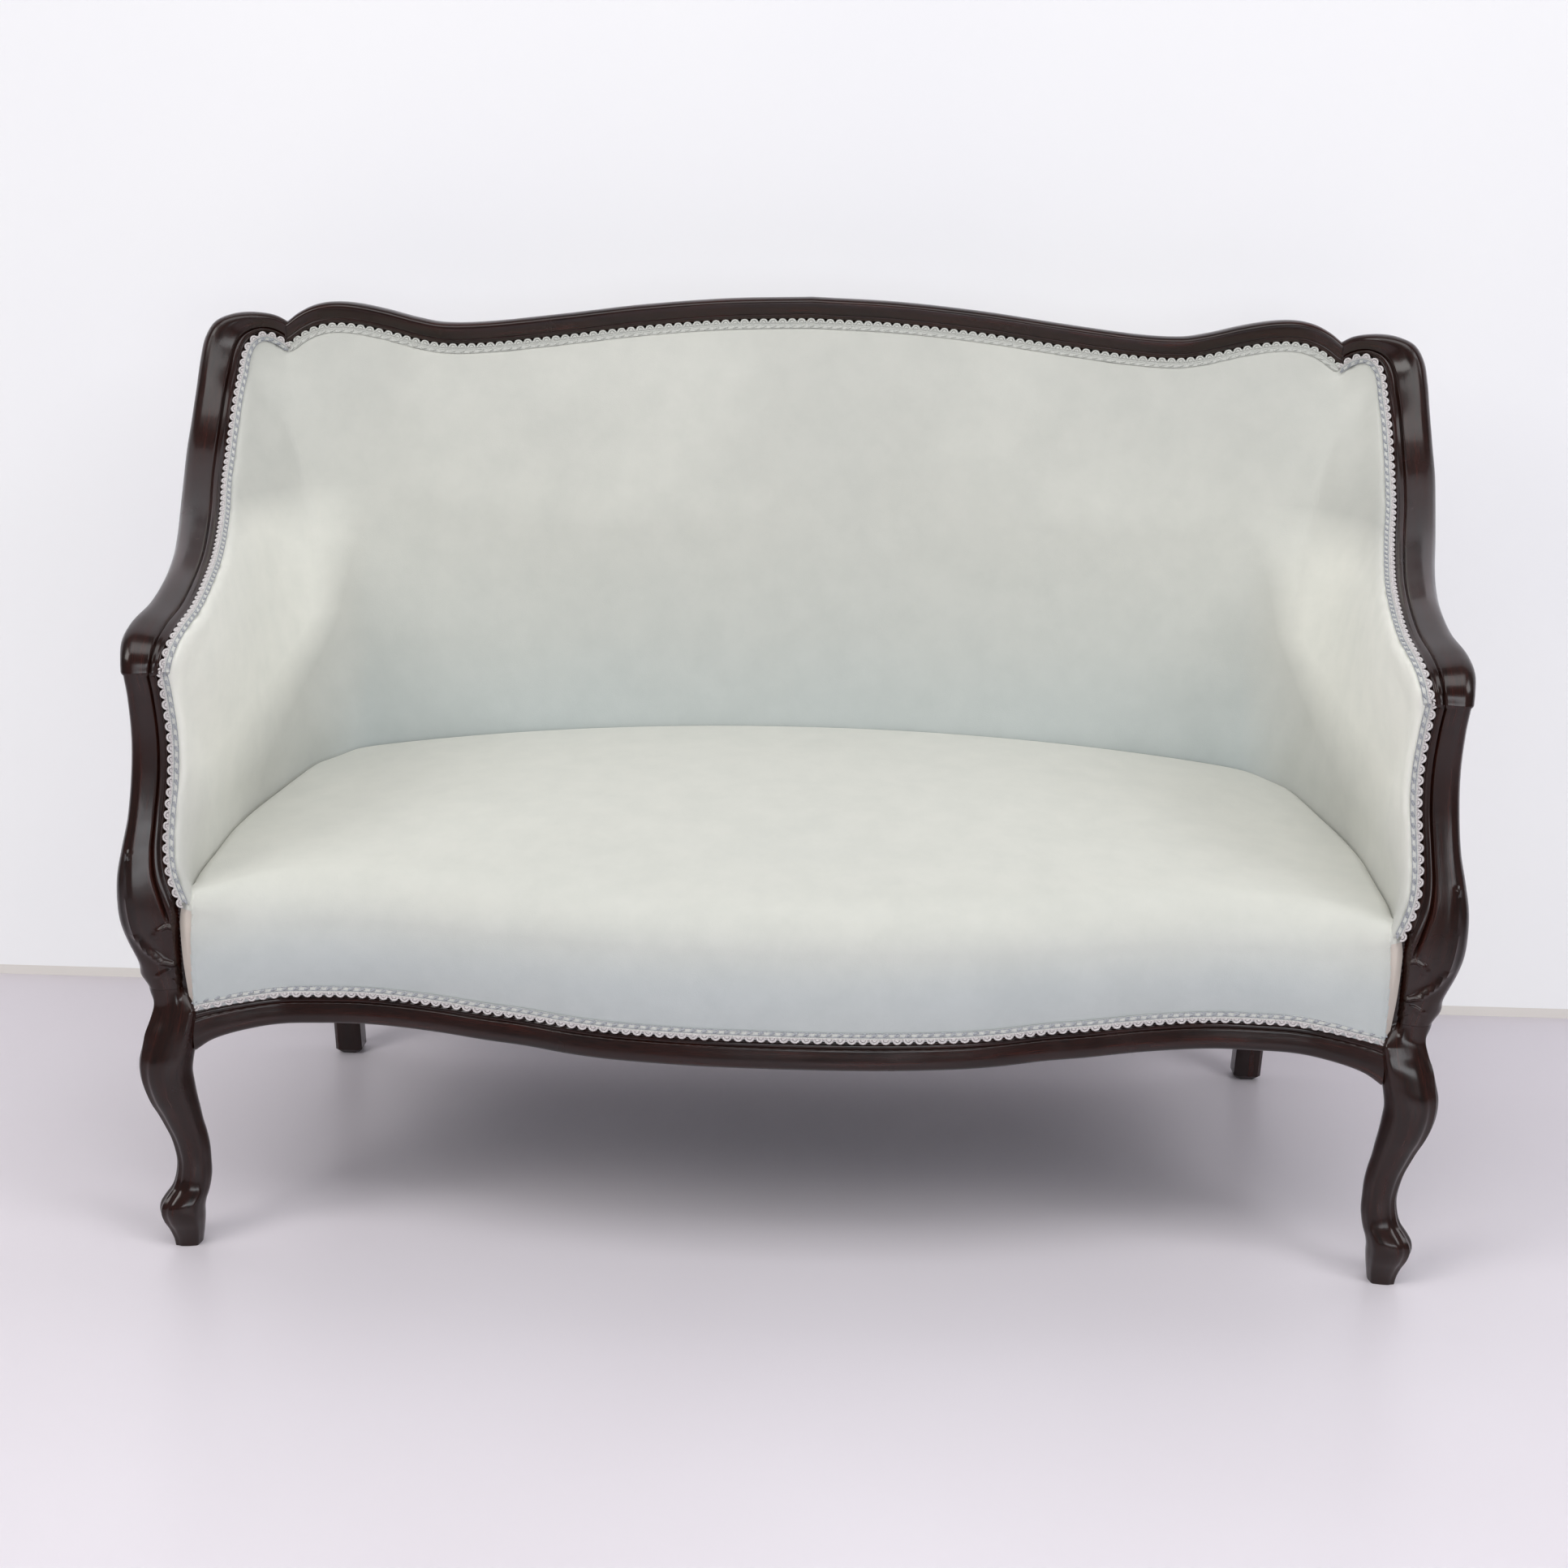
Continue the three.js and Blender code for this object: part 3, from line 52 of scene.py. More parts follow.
# Sizes of the frame, in millimetres
CREST_HEIGHT, CREST_FALL, CREST_BAND, CREST_DEPTH = 917.5, 39, 26, 35
NOTCH_HALF, SHOULDER_WIDTH, SHOULDER_RISE, NOSE_HEIGHT = 600, 89, 11.5, 586
LEG_SPAN, FRONT_FOOT_HALF, REAR_FOOT_HALF, LEG_TOP = 510, 598, 549, 275
NOSE_SETBACK, NOTCH_SETBACK = 10, 43
ARM_DEPTH, FRONT_BAND, FRONT_PROUD, LEG_BLOCK = 28, 31.5, 17, 40
FRONT_RAIL_HEIGHT, SWING_REACH, SWING_RISE = 255, 30, 6
RAIL_TOP, RAIL_TALL, RAIL_THICK, RAIL_REBATE = 318, 78, 24, 16
REAR_LEG, UPRIGHT_TOP_DEPTH, FOOT_KICK = 32, 20, 8
HEAD_DROP, HEAD_SETBACK, HEAD_INSET = 28.5, 9, 2
SEAT_CORNER_RISE, CREASE_RISE, SEAT_CROWN, SEAT_FRONT_CROWN, SEAT_SWELL = 54, 80, 42, 8, 14
SEAT_SIDE_INSET, CREASE_INSET, CREASE_FORWARD, BACK_FULL, LUMBAR = 13, 29, 112, 21, 7
SEAT_ROUND, BORDER_SWELL = 46, 6
PAD_DEPTH, PAD_EDGE, PAD_SETBACK = 12, 3, 2.4
GIMP_WIDTH, CLOTH, WEB = 11, 1.6, 1.5
SPRING_LIFT, OVERRUN, FIT = 34, 20, 0.3

FRONT_Y, REAR_Y = -LEG_SPAN / 2, LEG_SPAN / 2
NOSE_Y, NOTCH_Y = FRONT_Y + NOSE_SETBACK, REAR_Y + NOTCH_SETBACK
CREST_LOW = CREST_HEIGHT - CREST_FALL
WING_RISE = CREST_LOW + SHOULDER_RISE - NOSE_HEIGHT
RAIL_HALF = FRONT_FOOT_HALF - LEG_BLOCK / 2 + 2 * FIT
RAIL_BOTTOM = RAIL_TOP - RAIL_TALL
RAIL_MIDDLE = (RAIL_TOP + RAIL_BOTTOM) / 2
REAR_RAIL_Y = REAR_Y - FOOT_KICK
UPRIGHT_TOP = CREST_LOW - HEAD_DROP
BACK_RAKE = NOTCH_Y + HEAD_SETBACK - REAR_RAIL_Y
SEAT_SIDE_HALF = FRONT_FOOT_HALF - SEAT_SIDE_INSET
CREASE_HALF = REAR_FOOT_HALF - CREASE_INSET
CREASE_HEIGHT = RAIL_TOP + CREASE_RISE
CREASE_Y = NOTCH_Y - CREASE_FORWARD
SPRING_HALF = CREASE_HALF - OVERRUN
PAD_BOTTOM = RAIL_TOP + RAIL_THICK / 2
OUTSIDE_LOW = RAIL_BOTTOM + RAIL_THICK
CREST_LEAN = math.atan(BACK_RAKE / (UPRIGHT_TOP - RAIL_MIDDLE))
EDGE_SHARE, BED_SHARE, FRONT_BED_SHARE = 0.6, 0.58, 0.62
MM = 0.001
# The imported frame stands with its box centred, so every place moves by this along Y
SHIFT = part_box("seat_stretcher")[1][1] / MM - (REAR_RAIL_Y - RAIL_THICK / 2 - FIT)

# Curves and rows of the frame, as shares of the sizes above
CREST_CURVE = [
    (0, 0), (0.16, 0.09), (0.32, 0.31), (0.48, 0.63), (0.62, 0.88), (0.7, 0.92), (0.75, 0.8),
    (0.81, 0.58), (0.87, 0.42), (0.915, 0.4), (0.95, 0.51), (0.98, 0.74), (1, 0.98),
]
WING_OUTER = [
    (0.005, 1, 0.96), (0.16, 0.984, 0.987), (0.384, 0.956, 1), (0.622, 0.936, 0.993),
    (0.821, 0.923, 0.967), (0.937, 0.912, 0.914), (0.986, 0.892, 0.834), (0.998, 0.855, 0.719),
    (1, 0.811, 0.609), (0.984, 0.762, 0.52), (0.903, 0.683, 0.424), (0.796, 0.595, 0.344),
    (0.649, 0.489, 0.281), (0.516, 0.383, 0.232), (0.405, 0.258, 0.185), (0.387, 0.152, 0.139),
    (0.435, 0.068, 0.106), (0.436, 0.024, 0.073), (0.413, 0.004, 0.033), (0.406, 0, 0),
]
WING_INNER = [
    (0.005, 0.995, 0.871), (0.133, 0.98, 0.904), (0.284, 0.963, 0.921), (0.397, 0.949, 0.907),
    (0.463, 0.936, 0.877), (0.492, 0.919, 0.834), (0.489, 0.894, 0.781), (0.485, 0.855, 0.712),
    (0.486, 0.811, 0.609), (0.464, 0.762, 0.52), (0.398, 0.683, 0.424), (0.284, 0.595, 0.344),
    (0.155, 0.489, 0.281), (0.04, 0.383, 0.232), (-0.062, 0.258, 0.185), (-0.112, 0.152, 0.139),
    (-0.107, 0.068, 0.106), (-0.083, 0.024, 0.073), (-0.051, 0.004, 0.033), (-0.028, 0, 0),
]
SUPPORT_ROWS = [
    (0, 0.863, 0.013, 0.3, 0.85), (0.084, 0.815, -0.055, 0.375, 0.825),
    (0.209, 0.8, -0.115, 0.425, 0.825), (0.334, 0.85, -0.09, 0.375, 0.85),
    (0.457, 0.94, 0, 0.225, 0.9), (0.55, 1.075, 0.02, 0.05, 0.975),
    (0.63, 1.175, -0.07, -0.1, 1.05), (0.704, 1.195, -0.275, -0.175, 1.1),
    (0.775, 1.165, -0.48, -0.175, 1.125), (0.839, 1.04, -0.57, -0.125, 1.1),
    (0.92, 0.8, -0.63, -0.05, 1.05), (1, 0.6, -0.66, 0, 1),
]
LEG_ROWS = [
    (1, -0.085, 1.07, 1), (0.945, -0.09, 1.03, 1), (0.895, -0.03, 1.1, 0.8),
    (0.844, 0.055, 1.2, 0.5), (0.789, 0.125, 1.25, 0.25), (0.738, 0.2, 1.25, 0.1),
    (0.684, 0.225, 1.2, 0), (0.633, 0.19, 1.17, 0), (0.578, 0.125, 1.1, 0),
    (0.527, 0.04, 1, 0), (0.473, -0.04, 0.91, 0), (0.422, -0.12, 0.86, 0),
    (0.367, -0.175, 0.825, 0), (0.316, -0.195, 0.8, 0), (0.262, -0.175, 0.85, 0),
    (0.225, -0.12, 0.91, 0), (0.196, -0.03, 1.02, 0), (0.171, 0.045, 1.07, 0),
    (0.142, 0.075, 1.06, 0.1), (0.105, 0.05, 0.98, 0.2), (0.069, 0.01, 0.84, 0.3),
    (0.029, -0.013, 0.71, 0.4), (0, -0.013, 0.65, 0.4),
]
RIDGE_CURVE = [
    (0, 1.12), (0.033, 1.03), (0.067, 1.07), (0.125, 1), (0.194, 0.98), (0.25, 1.03),
    (0.311, 0.98), (0.375, 1), (0.5, 1.05),
]
SWING_CURVE = [
    (0, -1), (0.09, -0.98), (0.162, -0.93), (0.233, -0.83), (0.3, -0.69), (0.364, -0.46),
    (0.436, -0.1), (0.509, 0.17), (0.583, 0.5), (0.655, 0.75), (0.728, 0.9), (0.797, 0.88),
    (0.864, 0.77), (0.925, 0.4), (0.97, 0.05), (1, -0.2),
]
SWEEP_CURVE = [(0, 1), (0.88, 1), (0.94, 1.06), (0.975, 1.18), (1, 1.42)]
SIDE_PLAN = [(0, 0), (0.35, 0.005), (0.55, 0.06), (0.7, 0.2), (0.82, 0.42), (0.92, 0.7), (1, 1)]


# Numbers and curves

def mix(low, high, share):
    return low + (high - low) * share


def clamp(value, low=0.0, high=1.0):
    return min(max(value, low), high)


def ease(low, high, value):
    share = np.clip((value - low) / (high - low), 0, 1)
    return share * share * (3 - 2 * share)


def smooth(table, at):
    """Reads a table of pairs with a smooth curve through its rows."""
    last = len(table) - 1
    found = next((n for n, row in enumerate(table) if row[0] > at), -1)
    after = last if found < 0 else max(found, 1)
    (x1, y1), (x2, y2) = table[after - 1], table[after]
    (x0, y0), (x3, y3) = table[max(after - 2, 0)], table[min(after + 1, last)]
    span = x2 - x1
    slope1 = (y2 - y0) / (x2 - x0) if after > 1 else (y2 - y1) / span
    slope2 = (y3 - y1) / (x3 - x1) if after < last else (y2 - y1) / span
    t = clamp((at - x1) / span)
    bend = t * (1 - t) * ((1 - t) * (slope1 * span - y2 + y1) - t * (slope2 * span - y2 + y1))
    return y1 + (y2 - y1) * t + bend


def column_at(rows, n, at):
    """Reads one column of a table of rows with the same curve."""
    return smooth([(row[0], row[n]) for row in rows], at)


def curve_through(points):
    """A centripetal curve through points, read by a share of its rows."""
    points = [np.array(p, float) for p in points]
    padded = [2 * points[0] - points[1], *points, 2 * points[-1] - points[-2]]
    last = len(points) - 1

    def place(share):
        at = clamp(share) * last
        n = min(int(at), last - 1)
        t = at - n
        p0, p1, p2, p3 = padded[n:n + 4]
        runs = (p1 - p0, p2 - p1, p3 - p2)
        d0, d1, d2 = (max(np.linalg.norm(run), 1e-9) ** 0.5 for run in runs)
        m1 = ((p1 - p0) / d0 - (p2 - p0) / (d0 + d1) + (p2 - p1) / d1) * d1
        m2 = ((p2 - p1) / d1 - (p3 - p1) / (d1 + d2) + (p3 - p2) / d2) * d1
        square, cube = 3 * (p2 - p1) - 2 * m1 - m2, 2 * (p1 - p2) + m1 + m2
        return p1 + m1 * t + square * t ** 2 + cube * t ** 3

    return place


def unit(vector):
    return vector / np.linalg.norm(vector)


def vec(x, y, z):
    return np.array((x, y, z), float)


# Frames on the show-wood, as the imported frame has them

def upright_at(height):
    seat_part = height / RAIL_MIDDLE
    back_part = max(0.0, (height - RAIL_MIDDLE) / (UPRIGHT_TOP - RAIL_MIDDLE))
    kick = FOOT_KICK * max(0.0, 1 - seat_part) ** 2
    x = mix(REAR_FOOT_HALF, NOTCH_HALF - HEAD_INSET, (height / UPRIGHT_TOP) ** 1.3)
    y = REAR_RAIL_Y + kick + BACK_RAKE * back_part ** 1.15
    return x, y, mix(REAR_LEG, UPRIGHT_TOP_DEPTH, min(1, back_part))


def frame_front(height):
    _, y, depth = upright_at(height)
    return y - depth / 2


def frame_back(height):
    _, y, depth = upright_at(height)
    return y + depth / 2


def crest_top(x):
    return CREST_HEIGHT - CREST_FALL * smooth(CREST_CURVE, min(1, abs(x) / NOTCH_HALF))


def crest_frame(x):
    step = NOTCH_HALF / 100
    slope = (crest_top(x + step) - crest_top(x - step)) / (2 * step)
    tall = CREST_BAND / math.cos(math.atan(slope * 0.5))
    up = vec(0, math.sin(CREST_LEAN), math.cos(CREST_LEAN))
    proud = vec(0, -math.cos(CREST_LEAN), math.sin(CREST_LEAN))
    z = crest_top(x) - tall * math.cos(CREST_LEAN)
    y = frame_back(z) - EDGE_SHARE * CREST_DEPTH - WEB
    return vec(x, y, z), up, proud, tall


def wing_place(row):
    out, back, up = row
    x = mix(FRONT_FOOT_HALF, NOTCH_HALF, back) + out * SHOULDER_WIDTH
    return vec(x, mix(NOSE_Y, NOTCH_Y, back), NOSE_HEIGHT + up * WING_RISE)


wing_outer = curve_through([wing_place(row) for row in WING_OUTER])
wing_inner = curve_through([wing_place(row) for row in WING_INNER])


def wing_middle(along):
    return (wing_outer(along) + wing_inner(along)) / 2


def wing_frame(along):
    """Edge, way across, way proud and width of the wing and arm rail."""
    step = 0.01
    place, outer, inner = wing_middle(along), wing_outer(along), wing_inner(along)
    behind = place * (0, 1, 1) if along < step else wing_middle(along - step)
    ahead = place * (1, 1, 0) if along > 1 - step else wing_middle(along + step)
    across = outer - inner
    width = np.linalg.norm(across)
    across = across / width
    proud = unit(np.cross(unit(ahead - behind), across))
    return inner, across, proud, width


def support_frame(fall):
    """The same for the arm support, with its depth."""
    outside, inside, forward, depth = (
        column_at(SUPPORT_ROWS, n, fall) for n in (1, 2, 3, 4))
    z = mix(NOSE_HEIGHT - FIT, LEG_TOP + FIT, fall)
    y = FRONT_Y + forward * LEG_BLOCK
    inner = vec(FRONT_FOOT_HALF + inside * LEG_BLOCK, y, z)
    return inner, vec(1, 0, 0), vec(0, -1, 0), (outside - inside) * LEG_BLOCK, depth * LEG_BLOCK


def front_at(x):
    swing = smooth(SWING_CURVE, abs(x) / RAIL_HALF)
    return FRONT_Y + swing * SWING_REACH, FRONT_RAIL_HEIGHT + swing * SWING_RISE


def bed_point(place, depth, away, lift):
    inner, across, proud, _ = place
    return inner - across * away + proud * ((BED_SHARE - EDGE_SHARE) * depth + lift)


# Surfaces of the upholstery

def crease_at(height):
    share = (height - CREASE_HEIGHT) / (UPRIGHT_TOP - CREASE_HEIGHT)
    x = mix(CREASE_HALF, NOTCH_HALF, max(0.0, share) ** 1.8)
    return x, mix(CREASE_Y, NOTCH_Y - RAIL_THICK / 4, share), share


def back_surface(across, height):
    x, y, share = crease_at(height)
    full = mix(BACK_FULL, 0, min(1, share)) * (1 - abs(across) ** 2.5)
    lumbar = LUMBAR * math.sin(math.pi * clamp(share)) * (1 - across ** 2)
    return vec(across * x, y + full - lumbar, height)


def back_column(across, rows):
    """Inside back from the gimp's bed under the crest down to the seat frame."""
    x = across * (NOTCH_HALF - PAD_SETBACK)
    place = crest_frame(x)
    near = bed_point(place, CREST_DEPTH, PAD_SETBACK, PAD_EDGE)
    far = bed_point(place, CREST_DEPTH, GIMP_WIDTH + 2 * FIT, PAD_EDGE)
    start = back_surface(across, far[2])
    column = [near, (near + far) / 2, far]
    for drop in np.linspace(0, 1, rows)[1:]:
        point = back_surface(across, mix(far[2], PAD_BOTTOM, drop))
        fade = (1 - drop) ** 3
        point[0] += (far[0] - start[0]) * fade
        point[1] += (far[1] - start[1]) * fade
        column.append(point)
    return column


SIDE_FRONT_Y = FRONT_Y + LEG_BLOCK / 2


def side_plan(y):
    share = (y - SIDE_FRONT_Y) / (CREASE_Y - SIDE_FRONT_Y)
    return mix(SEAT_SIDE_HALF, CREASE_HALF, smooth(SIDE_PLAN, clamp(share)))


ARM_ALONG = [
    0.01, 0.08, 0.15, 0.22, 0.28, 0.33, 0.38, 0.43, 0.474, 0.526, 0.58, 0.63, 0.69, 0.75, 0.81,
    0.86, 0.905, 0.95, 1,
]
ARM_FALL = [0, 0.07, 0.18, 0.3, 0.42, 0.52, 0.61, 0.69, 0.74]
CREASE_PART = 0.42
CREASE_LAP = 8  # the arm's stuffing laps into the back's by this


def arm_station(share):
    """Frame on the rail or the support at a share round the edge of the inside arm."""
    rows = len(ARM_ALONG) - 1
    at = share * (rows + len(ARM_FALL) - 1)
    if at <= rows:
        return (*wing_frame(float(np.interp(at, range(rows + 1), ARM_ALONG))), ARM_DEPTH)
    return support_frame(float(np.interp(at - rows, range(len(ARM_FALL)), ARM_FALL)))


def arm_foot(share):
    if share <= CREASE_PART:
        height = mix(UPRIGHT_TOP - 2.5 * PAD_DEPTH, PAD_BOTTOM, share / CREASE_PART)
        x, y, _ = crease_at(height)
        return vec(x - CREASE_LAP, y, height)
    start = crease_at(PAD_BOTTOM)[1]
    y = mix(start, SIDE_FRONT_Y + LEG_BLOCK / 2, (share - CREASE_PART) / (1 - CREASE_PART))
    return vec(side_plan(y), y, PAD_BOTTOM)


def arm_outwards(y):
    turn = clamp((y - FRONT_Y) / (NOTCH_Y - FRONT_Y) - 0.35, 0, 0.65) * 1.4
    return vec(math.cos(turn), math.sin(turn), 0)


def arm_row(share, steps):
    """Inside arm at one station, from the gimp's bed in to the crease or the seat."""
    *place, depth = arm_station(share)
    foot = arm_foot(share)
    near = bed_point(place, depth, PAD_SETBACK, PAD_EDGE)
    far = bed_point(place, depth, GIMP_WIDTH + 2 * FIT, PAD_EDGE)
    roll = bed_point(place, depth, GIMP_WIDTH + PAD_DEPTH / 2, -PAD_DEPTH / 4)
    fullness = np.linalg.norm(roll - foot) * 0.16
    row = [near, (near + far) / 2, far, roll]
    for part in np.linspace(0, 1, steps)[1:]:
        point = mix(roll, foot, part)
        row.append(point + arm_outwards(point[1]) * fullness * part * (1 - part))
    return row


def seat_top(x, y):
    share = clamp((y - FRONT_Y) / (CREASE_Y + BACK_FULL - FRONT_Y))
    across = max(0.0, 1 - (x / SEAT_SIDE_HALF) ** 2)
    rise = mix(SEAT_FRONT_CROWN, SEAT_CROWN, share) * across
    swell = SEAT_SWELL * across * math.sin(math.pi * share)
    return RAIL_TOP + mix(SEAT_CORNER_RISE, CREASE_RISE, share) + rise + swell


def spring_rise(x, y):
    across = max(0.0, 1 - (x / SPRING_HALF) ** 2)
    deep = max(0.0, 1 - ((y - FRONT_Y / 6) / (LEG_SPAN * 0.38)) ** 2)
    return SPRING_LIFT * across * deep


# Meshes

def metres(points):
    return (np.asarray(points, float) + (0, SHIFT, 0)) * MM


def add_mesh(name, points, faces, smooth_angle=40, uv=None):
    """A piece from points in the part's millimetres, with its faces turned outwards."""
    mesh = bpy.data.meshes.new(name)
    mesh.from_pydata(metres(points).tolist(), [], [list(face) for face in faces])
    if uv is not None:
        layer = mesh.uv_layers.new(name="grain")
        corners = np.empty(len(mesh.loops), int)
        mesh.loops.foreach_get("vertex_index", corners)
        layer.data.foreach_set("uv", np.asarray(uv, float)[corners].ravel())
    made = bpy.data.objects.new(name, mesh)
    scene.collection.objects.link(made)
    turn_out(made)
    if smooth_angle:
        mesh.shade_smooth()
        mesh.set_sharp_from_angle(angle=math.radians(smooth_angle))
    return made


def turn_out(made):
    shape = bmesh.new()
    shape.from_mesh(made.data)
    if shape.calc_volume(signed=True) < 0:
        bmesh.ops.reverse_faces(shape, faces=shape.faces)
    shape.to_mesh(made.data)
    shape.free()


def loft_faces(rows, size, closed=True):
    faces = []
    for row in range(rows - 1):
        start = row * size
        for n in range(size if closed else size - 1):
            after = (n + 1) % size
            faces.append((start + n, start + after, start + size + after, start + size + n))
    return faces


def loft(name, rings, smooth_angle=40, ends=True):
    """A closed body through rings, with a grain map that runs along it in metres."""
    rings = np.asarray(rings, float)
    rows, size, _ = rings.shape
    faces = loft_faces(rows, size)
    if ends:
        faces += [tuple(range(size)), tuple((rows - 1) * size + n for n in reversed(range(size)))]
    centre = rings.mean(axis=1)
    along = np.concatenate([[0], np.cumsum(np.linalg.norm(np.diff(centre, axis=0), axis=1))])
    middle = rings[rows // 2]
    around = np.concatenate([[0], np.cumsum(np.linalg.norm(np.diff(middle, axis=0), axis=1))])
    uv = np.stack([np.repeat(along, size), np.tile(around, rows)], -1) * MM
    return add_mesh(name, rings.reshape(-1, 3), faces, smooth_angle, uv)


def mirrored(points):
    return np.asarray(points, float) * (-1, 1, 1)


def finished(made, material, slot, *nodes):
    """Gives a piece its finish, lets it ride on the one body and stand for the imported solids."""
    made.data.materials.clear()
    made.data.materials.append(material)
    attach(made, "root")
    if nodes:
        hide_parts(*nodes)


# Materials

def linear(code):
    """An sRGB hex colour as linear RGBA."""
    parts = [int(code[n:n + 2], 16) / 255 for n in (0, 2, 4)]
    return (*[p / 12.92 if p <= 0.04045 else ((p + 0.055) / 1.055) ** 2.4 for p in parts], 1)


def node(tree, kind, inputs=None, stops=None, **settings):
    """Adds a node. An input may be a value, a socket or a node, which gives its first output."""
    made = tree.nodes.new(kind)
    for key, value in settings.items():
        setattr(made, key, value)
    if stops:
        ramp = made.color_ramp
        while len(ramp.elements) < len(stops):
            ramp.elements.new(1)
        for element, (at, colour) in zip(ramp.elements, stops):
            element.position, element.color = at, linear(colour)
    for key, value in (inputs or {}).items():
        if isinstance(value, bpy.types.Node):
            value = value.outputs[0]
        if isinstance(value, bpy.types.NodeSocket):
            tree.links.new(value, made.inputs[key])
        else:
            made.inputs[key].default_value = value
    return made


def new_material(name):
    """An empty material, its tree, and the place in metres at which its patterns are read."""
    material = bpy.data.materials.new(name)
    material.use_nodes = True
    tree = material.node_tree
    tree.nodes.clear()
    return material, tree, node(tree, "ShaderNodeTexCoord").outputs["Object"]


def surface(tree, inputs):
    shader = node(tree, "ShaderNodeBsdfPrincipled", inputs)
    node(tree, "ShaderNodeOutputMaterial", {"Surface": shader})


TINTED = {"data_type": "RGBA", "blend_type": "MULTIPLY"}


def mahogany(name, follows, scale):
    """French-polished mahogany: dark red-brown, fine pores along the grain, a shellac gloss."""
    material, tree, place = new_material(name)
    source = node(tree, "ShaderNodeUVMap", uv_map="grain") if follows == "grain" else place
    mapped = node(tree, "ShaderNodeMapping", {"Vector": source, "Scale": scale})
    figure = node(tree, "ShaderNodeTexNoise", {
        "Vector": mapped, "Scale": 1.0, "Detail": 4.0, "Roughness": 0.6})
    pores = node(tree, "ShaderNodeTexNoise", {
        "Vector": mapped, "Scale": 9.0, "Detail": 2.0, "Roughness": 0.5})
    wear = node(tree, "ShaderNodeTexNoise", {"Vector": place, "Scale": 22.0, "Detail": 3.0})
    base = node(tree, "ShaderNodeValToRGB", {"Fac": figure}, stops=[
        (0.3, "180a06"), (0.55, "28100a"), (0.75, "3c170f")])
    dark = node(tree, "ShaderNodeValToRGB", {"Fac": pores}, stops=[
        (0.36, "8a8280"), (0.5, "ffffff")])
    colour = node(tree, "ShaderNodeMix", {"Factor": 0.8, "A": base, "B": dark}, **TINTED)
    gloss = node(tree, "ShaderNodeMapRange", {
        "Value": wear, "From Min": 0.3, "From Max": 0.7, "To Min": 0.16, "To Max": 0.28})
    bump = node(tree, "ShaderNodeBump", {"Strength": 0.12, "Distance": 0.0004, "Height": pores})
    surface(tree, {
        "Base Color": colour.outputs["Result"], "Roughness": gloss, "IOR": 1.42,
        "Coat Weight": 0.1, "Coat Roughness": 0.06, "Normal": bump})
    return material


def velvet(name, tones, low, high, painted_arm_light=0.0):
    """Short-pile cotton velvet, pale sage: a soft sheen and a rubbed pile, with painted light that
    turns it lighter and beige higher up and on the arms.
    """
    material, tree, place = new_material(name)
    broad = node(tree, "ShaderNodeTexNoise", {
        "Vector": place, "Scale": 2.6, "Detail": 2.0, "Roughness": 0.5})
    rubbed = node(tree, "ShaderNodeTexNoise", {
        "Vector": place, "Scale": 26.0, "Detail": 4.0, "Roughness": 0.6})
    pile = node(tree, "ShaderNodeTexNoise", {"Vector": place, "Scale": 900.0, "Detail": 2.0})
    parts = node(tree, "ShaderNodeSeparateXYZ", {"Vector": place}).outputs
    # Painted light on the inside arms: out past 0.5 m and below 0.56 to 0.7 m high, the cloth is
    # moved up its ramp to lighter tones
    outwards = node(tree, "ShaderNodeMath", {0: parts["X"]}, operation="ABSOLUTE")
    side = node(tree, "ShaderNodeMapRange", {
        "Value": outwards, "From Min": 0.5, "From Max": 0.6, "To Min": 0.0, "To Max": painted_arm_light})
    below = node(tree, "ShaderNodeMapRange", {
        "Value": parts["Z"], "From Min": 0.56, "From Max": 0.7, "To Min": 1.0, "To Max": 0.0})
    arms = node(tree, "ShaderNodeMath", {0: side, 1: below}, operation="MULTIPLY")
    # Painted light from above: the higher the cloth, the lighter and warmer its tone, from bluish
    # grey low down to cream
    painted_top_light = node(tree, "ShaderNodeMapRange", {
        "Value": parts["Z"], "From Min": low, "From Max": high, "To Min": 0.0, "To Max": 0.62},
        interpolation_type="SMOOTHSTEP")
    patchy = node(tree, "ShaderNodeMath", {0: broad, 1: 0.24, 2: 0.08}, operation="MULTIPLY_ADD")
    painted_light = node(tree, "ShaderNodeMath", {0: arms, 1: painted_top_light}, operation="ADD")
    mottle_and_painted_light = node(tree, "ShaderNodeMath", {0: patchy, 1: painted_light}, operation="ADD")
    base = node(tree, "ShaderNodeValToRGB", {"Fac": mottle_and_painted_light}, stops=list(
        zip((0.15, 0.5, 0.8, 1.0), tones)))
    nap = node(tree, "ShaderNodeValToRGB", {"Fac": rubbed}, stops=[
        (0.3, "f6f7f7"), (0.65, "ffffff")])
    colour = node(tree, "ShaderNodeMix", {"Factor": 0.7, "A": base, "B": nap}, **TINTED)
    bump = node(tree, "ShaderNodeBump", {"Strength": 0.3, "Distance": 0.0005, "Height": pile})
    surface(tree, {
        "Base Color": colour.outputs["Result"], "Roughness": 0.85, "Specular IOR Level": 0.2,
        "Sheen Weight": 0.2, "Sheen Roughness": 0.5, "Normal": bump})
    return material


def thread(name, light, dark):
    """Twisted cotton thread: two close tones that turn with the twist."""
    material, tree, place = new_material(name)
    twist = node(tree, "ShaderNodeTexNoise", {"Vector": place, "Scale": 700.0, "Detail": 2.0})
    colour = node(tree, "ShaderNodeValToRGB", {"Fac": twist}, stops=[(0.35, dark), (0.62, light)])
    bump = node(tree, "ShaderNodeBump", {"Strength": 0.4, "Distance": 0.0004, "Height": twist})
    surface(tree, {"Base Color": colour, "Roughness": 0.8, "Normal": bump})
    return material


# The wave node takes the sine of this number times scale and place
WAVE_FACTOR = 20


